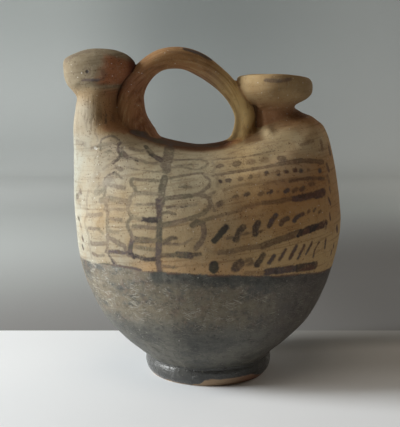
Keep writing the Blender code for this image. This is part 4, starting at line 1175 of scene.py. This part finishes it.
class AskosColours(bpy.types.PropertyGroup):
    """Colours of the clay, the paint and the slip."""

    clay_cream: shade("Cream clay", "Palest clay, at the breast and the cup's near side",
                      (0.41, 0.39, 0.315))
    clay_buff: shade("Buff clay", "Clay of most of the upper body", (0.385, 0.28, 0.15))
    clay_pale: shade("Pale clay", "Clay of the shoulder", (0.485, 0.42, 0.28))
    clay_straw: shade("Straw clay", "Clay of the back and of the low right flank", (0.54, 0.385, 0.185))
    clay_brown: shade("Brown clay", "Clay towards the tail", (0.43, 0.245, 0.095))
    clay_tan: shade("Tan clay", "Clay of the neck and the cup", (0.315, 0.205, 0.092))
    clay_olive: shade("Olive clay", "Clay of the face", (0.245, 0.195, 0.12))
    clay_ochre: shade("Ochre clay", "Clay of the handle's leg beside the cup", (0.62, 0.43, 0.17))
    clay_toe: shade("Toe clay", "Orange clay at the foot of that leg", (0.58, 0.33, 0.125))
    clay_red: shade("Red clay", "Reddish clay of the handle and the back of the head",
                    (0.30, 0.108, 0.040))
    clay_umber: shade("Umber clay", "Brown clay along the top of the handle", (0.34, 0.19, 0.064))
    clay_orange: shade("Orange clay", "Warmer clay just above the slip", (0.56, 0.335, 0.155))
    clay_russet: shade("Russet", "Reddish zone high on the tail side", (0.72, 0.50, 0.36))
    clay_shade: shade("Low shade", "Darker clay low on the breast side", (0.68, 0.70, 0.70))
    clay_mottle: shade("Mottle", "Broad darker mottling of the clay", (0.66, 0.52, 0.40))
    clay_stain_and_shade: shade("Stain", "Brown stain in joints, pores and streaks", (0.36, 0.24, 0.15))
    dirt_and_shade: shade("Dirt", "Dark dirt in pores and creases", (0.14, 0.09, 0.06))
    salts_and_glints: shade("Salts", "Pale grains", (0.66, 0.62, 0.55))
    paint_brown: shade("Brown paint", "Thin brown paint", (0.100, 0.060, 0.033))
    paint_rust: shade("Rusty paint", "Thinnest paint towards the tail", (0.150, 0.064, 0.033))
    paint_olive: shade("Olive paint", "Thin greenish paint", (0.085, 0.078, 0.048))
    paint_grey: shade("Grey paint", "Thin grey-purple paint", (0.108, 0.080, 0.072))
    paint_black: shade("Black paint", "Thick black paint", (0.042, 0.030, 0.026))
    slip_dark: shade("Dark slip", "Unworn dark slip", (0.067, 0.066, 0.056))
    slip_worn: shade("Worn slip", "Worn grey slip", (0.126, 0.120, 0.098))
    slip_pale: shade("Rubbed slip", "Slip rubbed to an olive film", (0.235, 0.205, 0.135))
    slip_green: shade("Greenish slip", "Thick greenish slip under the upper line",
                      (0.055, 0.056, 0.046))
    slip_brown: shade("Brown slip", "Thin brownish slip", (0.178, 0.145, 0.094))
    slip_plum: shade("Plum slip", "Brownish purple slip towards the tail", (0.075, 0.058, 0.050))
    slip_rust: shade("Reddish slip", "Reddish places in the thin slip", (0.20, 0.135, 0.095))
    slip_stain: shade("Slip stain", "Darker brushing in the slip", (0.42, 0.42, 0.42))
    slip_scratch: shade("Scratches", "Scratches and scuffs in the slip", (0.29, 0.265, 0.21))
    slip_foot: shade("Foot slip", "Blacker slip of the foot", (0.045, 0.045, 0.043))
    foot_clay: shade("Foot clay", "Bare clay at the foot's edge", (0.42, 0.29, 0.18))
    foot_red: shade("Reddish foot clay", "Redder bare clay at the foot's edge", (0.36, 0.20, 0.13))


class StageSettings(bpy.types.PropertyGroup):
    """The table, the backdrop, the light and the camera."""

    sheet: shade("Sheet", "White paper on the table", (0.83, 0.845, 0.86))
    backdrop: shade("Backdrop", "Pale grey backdrop", (0.505, 0.53, 0.52))
    # the ground's grey is painted shade below the table's edge
    ground: shade("Ground", "Greyer paper behind the table's sheet", (0.22, 0.215, 0.21))
    window: power("Window light", "Strength of the light from the left", 31.0)
    window_colour: shade("Window colour", "Colour of the light from the left", (0.96, 0.99, 1.0))
    overhead: power("Overhead light", "Strength of the light from above", 2.0)
    rear: power("Rear light", "Strength of the light from the right, behind", 2.0)
    warm: shade("Warm light", "Colour of the two weaker lights", (1.0, 0.88, 0.74))
    fill: number("Fill light", "Strength of the light from all round", 0.047)
    fill_colour: shade("Fill colour", "Colour of the light from all round", (1.0, 0.82, 0.64))
    sheet_edge: length("Sheet edge", "Distance from the vessel's middle to the sheet's far edge", 0.073)
    turn: number("Turn", "Turn of the table's edge and the backdrop about Z", math.radians(-8),
                 min=-math.pi, subtype="ANGLE", unit="ROTATION")
    eye: spot("Camera", "Where the camera stands", (-0.0753, -0.5001, 0.1776))
    target: spot("Target", "What the camera looks at", (-0.005, 0.0, 0.0956))
    lens: number("Lens", "Focal length in millimetres", 71.66, min=10.0, subtype="DISTANCE_CAMERA",
                 unit="CAMERA")


def vessel_parts(form):
    """The skin, what is joined to it and what is cut out of it, as closed meshes. The painted flank
    has about twice as many points round a ring as the hidden one, and rings of twice as many points
    where it is painted as below, four times as many as at the head."""
    coarse = 1.0
    near, far = (int(count / coarse) // 4 * 4 for count in (NEAR_SIDES, FAR_SIDES))
    turn = np.concatenate([math.pi + np.arange(near) * math.pi / near,
                           2 * math.pi + np.arange(far) * math.pi / far])
    body = len(BODY_RINGS)
    last = body + len(NECK_RINGS) + len(HEAD_RINGS)
    low_step, back_step, flank_step, head_step = (step * MM * coarse for step in RING_STEPS)
    low = form.skin(form.ring_steps(0, PAINTED_FROM, low_step, back_step), turn[::2])
    flank = form.skin(form.ring_steps(PAINTED_FROM, body, flank_step, back_step), turn)
    join = form.skin(np.array([body - 0.12]), turn[::2])
    head = form.skin(form.ring_steps(body, last, head_step, head_step), turn[::4])
    cap, top = form.crown(head[-1], CROWN_RINGS)
    rings = [*form.foot(turn[::2], FOOT_RINGS), *low[:-1], *flank[:-1], *join, *head, *cap]
    vessel = lofted("askos_vessel", SKIN, rings, (0, 0, 0), top)

    handle, spout = ([int(count / coarse) for count in grid] for grid in (HANDLE_GRID, SPOUT_GRID))
    joined = [lofted("handle_tool", HANDLE, form.handle(*handle)),
              lofted("spout_tool", SPOUT, form.spout(*spout), closed=True)]
    joined += [lofted("web_tool", WEB, form.web(place, *WEB_GRID)) for place in (NECK_WEB, STEM_WEB)]
    hollow = form.hollow(HOLLOW_SIDES)
    hollow_top = hollow[-1].mean(0) + (0, 0, 8 * MM)
    cutters = [lofted("hollow_tool", INSIDE, hollow, top=hollow_top),
               lofted("drill_tool", INSIDE, form.drill(DRILL_SIDES))]
    return vessel, joined, cutters


def swelling(points, form):
    """How far a low form lifts each point: its height times e to the power of minus (the distance
    from its line over its width) to its own power."""
    path, width, steepness, rise = form
    away = path_distance(points, np.array(path) * MM) / MM
    return np.exp(-(away / width) ** steepness) * rise * MM


def shape_clay(points, triangles, layer, sizes):
    """Smears the joints of the handle and the cup into the body, the stem's joint most. Lets the
    cup's rim sag at its two ends, by 2.6 u squared plus u millimetres, u from -1 to 1 across the
    cup. Raises and presses the low forms, and folds the clay under the chin: up above its line and
    down below it, by 0.9 millimetres times a bell curve of the distance. Lays low uneven bumps over
    everything. Gives the points, how near each is to a joint, and 1 on the handle, -1 on the cup
    and its stem."""
    slit_reach, stem_reach = 2.2 * MM, 9 * MM
    edges = edges_of(triangles)
    seen = np.zeros((len(points), WEB + 1), bool)
    for part in range(WEB + 1):
        seen[np.unique(triangles[layer == part]), part] = True
    solid = seen[:, [SKIN, HANDLE, SPOUT]].sum(axis=1)
    joined, webbed = solid > 1, seen[:, WEB] & (solid > 0)
    beside_neck = (points[:, 0] < -40 * MM) & (points[:, 2] > 159 * MM)
    wide = eased(closeness(points, points[joined & ~beside_neck], sizes.joint_reach))
    slit = closeness(points, points[(joined & beside_neck) | webbed], slit_reach)
    points = relax(points, edges, np.clip(wide * 1.2 + 0.25 * slit, 0, 1), 40)
    stem_joint = joined & seen[:, SPOUT] & seen[:, SKIN]
    near_stem = closeness(points, points[stem_joint], stem_reach)
    points = relax(points, edges, eased(near_stem), 70)
    # the webs count as slit, so the finish paints them near black as the painted shade of the gaps they
    # close
    slit = np.maximum(slit, seen[:, WEB])
    limb = seen[:, HANDLE] * 1.0 - seen[:, SPOUT]
    limb = relax(np.repeat(limb[:, None], 3, axis=1), edges, np.full(len(points), 1.6), 8)[:, 0]
    off_cup = limb > -0.5

    cup_floor = Form(sizes).height(CUP_RIM_LEVEL) - sizes.cup_depth
    across = (points[:, 0] - sizes.cup_x) / sizes.cup_radius
    up = np.clip((points[:, 2] - cup_floor) / sizes.cup_depth, 0, 1) * (limb < -0.5)
    points[:, 2] -= up * (2.6 * across**2 + 1.0 * across) * MM

    normals = normals_of(points, triangles)
    for form, share in ((FINGER_RIDGE, normals[:, 1] < 0.2), (TOE, 1), (TOE_DIMPLE, 1),
                        (FLATTENED_HUMP, (1 - near_stem) * off_cup), (SHOULDER_SWELLING, 1)):
        points = points + normals * (swelling(points, form) * share)[:, None]

    chin = np.array(CHIN_LINE) * MM
    level = np.interp(points[:, 0], chin[:, 0], chin[:, 2])
    above = np.clip((points[:, 2] - level) / (1.2 * MM), -1, 1)
    front = (points[:, 1] < 0) & (points[:, 0] < -57 * MM)
    fold = swelling(points, (CHIN_LINE, 2.4, 2, 0.9)) * above * front
    points = points + normals * fold[:, None]

    bumps = sum(share * value_noise(points, size * MM, seed)
                for share, size, seed in UNEVEN_LAYERS) * sizes.unevenness
    bumps *= np.clip(points[:, 2] / (4 * MM), 0, 1)
    points = points + normals * bumps[:, None]
    return points, np.clip(np.maximum(wide * (0.35 + 0.3 * seen[:, HANDLE]), slit), 0, 1), limb


class ASKOS_OT_vessel(bpy.types.Operator):
    """Builds the askos as one seamless clay surface, with its decoration stored at its points"""

    bl_idname = "askos.vessel"
    bl_label = "Vessel"

    def execute(self, context):
        sizes = context.scene.askos_sizes
        vessel, joined, cutters = vessel_parts(Form(sizes))
        for tool in joined:
            combine(vessel, tool, "UNION")
        for tool in cutters:
            combine(vessel, tool, "DIFFERENCE")
        points, triangles, layer = evaluated_arrays(vessel)
        for part in (vessel, *joined, *cutters):
            mesh = part.data
            bpy.data.objects.remove(part)
            bpy.data.meshes.remove(mesh)
        points, joint, limb = shape_clay(points, triangles, layer, sizes)
        normals = normals_of(points, triangles)
        paint, strength, tone = paint_strokes(points, normals, sizes)
        mesh = plain_mesh("askos", points, triangles)
        for name, values in (("paint", paint), ("strength", strength), ("tone", tone),
                             ("joint", joint), ("limb", limb)):
            stored = mesh.attributes.new(name, "FLOAT", "POINT")
            stored.data.foreach_set("value", values.astype(np.float32))
        mesh.shade_smooth()
        askos = placed("painted_askos", mesh)
        mesh.materials.append(askos_finish(context.scene.askos_colours, sizes))
        if len(triangles) > MOST_TRIANGLES:
            raise RuntimeError(f"the vessel has {len(triangles)} triangles, over {MOST_TRIANGLES}")
        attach(askos, "root")
        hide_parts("askos")
        return {"FINISHED"}


def stage_sheet(name, across, profile, turn):
    """A sheet carried along X: the profile's (y, z) points between two x values, then turned
    about Z."""
    profile = np.array(profile)
    count = len(profile)
    points = np.concatenate([np.insert(profile, 0, x, axis=1) for x in across])
    c, d = math.cos(turn), math.sin(turn)
    points[:, :2] = points[:, :2] @ np.array(((c, d), (-d, c)))
    first = np.arange(count - 1)
    mesh = plain_mesh(name, points, halved(first, first + count, first + count + 1, first + 1))
    mesh.shade_smooth()
    thing = placed(name, mesh)
    return thing


def face_towards(thing, target):
    """Turns a lamp or a camera to look at a point."""
    thing.rotation_mode = "QUATERNION"
    thing.rotation_quaternion = (Vector(target) - thing.location).to_track_quat("-Z", "Y")


def area_light(name, place, size, strength, colour):
    """A rectangular lamp that faces the vessel."""
    lamp = bpy.data.lights.new(name, "AREA")
    lamp.shape, lamp.energy, lamp.color = "RECTANGLE", strength, colour
    lamp.size, lamp.size_y = size
    thing = placed(name, lamp)
    thing.location = place
    face_towards(thing, (0, 0, 0.09))
    thing.visible_camera = False


class ASKOS_OT_stage(bpy.types.Operator):
    """Lays the white sheet and the grey backdrop, hangs the window light and sets the camera"""

    bl_idname = "askos.stage"
    bl_label = "Stage"

    def execute(self, context):
        look = context.scene.askos_stage
        sheet = stage_sheet("table_sheet", (-1.6, 1.6), ((-2.2, 0.0), (look.sheet_edge, 0.0)),
                            look.turn)
        sheet.data.materials.append(stage_finish("white_sheet", look.sheet, 0.85))
        below, far, bend, top = -0.0015, 1.0, 0.25, 2.6
        curve = [(far + bend * math.sin(angle), below + bend * (1 - math.cos(angle)))
                 for angle in np.linspace(0, math.pi / 2, 13)]
        ground = stage_sheet("backdrop", (-3.0, 3.0),
                             [(-3.0, below), (0.5, below), *curve, (far + bend, top)], look.turn)
        ground.data.materials.append(stage_finish("grey_paper", look.backdrop, 0.9, look.ground))

        world = bpy.data.worlds.new("room")
        world.use_nodes = True
        background = world.node_tree.nodes["Background"]
        background.inputs["Color"].default_value = (*look.fill_colour, 1)
        background.inputs["Strength"].default_value = look.fill
        context.scene.world = world

        area_light("window", *WINDOW_LAMP, look.window, look.window_colour)
        area_light("overhead", *OVERHEAD_LAMP, look.overhead, look.warm)
        area_light("rear", *REAR_LAMP, look.rear, look.warm)

        lens = bpy.data.cameras.new("camera")
        lens.lens, lens.sensor_width, lens.sensor_fit = look.lens, 36, "AUTO"
        lens.clip_start, lens.clip_end = 0.01, 20
        camera = placed("camera", lens)
        camera.location = look.eye
        face_towards(camera, look.target)
        context.scene.camera = camera
        context.scene.view_settings.view_transform = "Standard"
        return {"FINISHED"}


class ASKOS_PT_panel(bpy.types.Panel):
    """Lists the askos operators"""

    bl_label = "Painted askos"
    bl_idname = "ASKOS_PT_panel"
    bl_space_type = "VIEW_3D"
    bl_region_type = "UI"
    bl_category = "Askos"

    def draw(self, context):
        for kind in (ASKOS_OT_vessel, ASKOS_OT_stage):
            self.layout.operator(kind.bl_idname)


CLASSES = (AskosSizes, AskosColours, StageSettings, ASKOS_OT_vessel, ASKOS_OT_stage, ASKOS_PT_panel)


def register():
    for kind in CLASSES:
        bpy.utils.register_class(kind)
    bpy.types.Scene.askos_sizes = bpy.props.PointerProperty(type=AskosSizes)
    bpy.types.Scene.askos_colours = bpy.props.PointerProperty(type=AskosColours)
    bpy.types.Scene.askos_stage = bpy.props.PointerProperty(type=StageSettings)


def unregister():
    del bpy.types.Scene.askos_stage
    del bpy.types.Scene.askos_colours
    del bpy.types.Scene.askos_sizes
    for kind in reversed(CLASSES):
        bpy.utils.unregister_class(kind)


def main():
    register()
    bpy.ops.askos.vessel()
    bpy.ops.askos.stage()


if __name__ == "__main__":
    main()
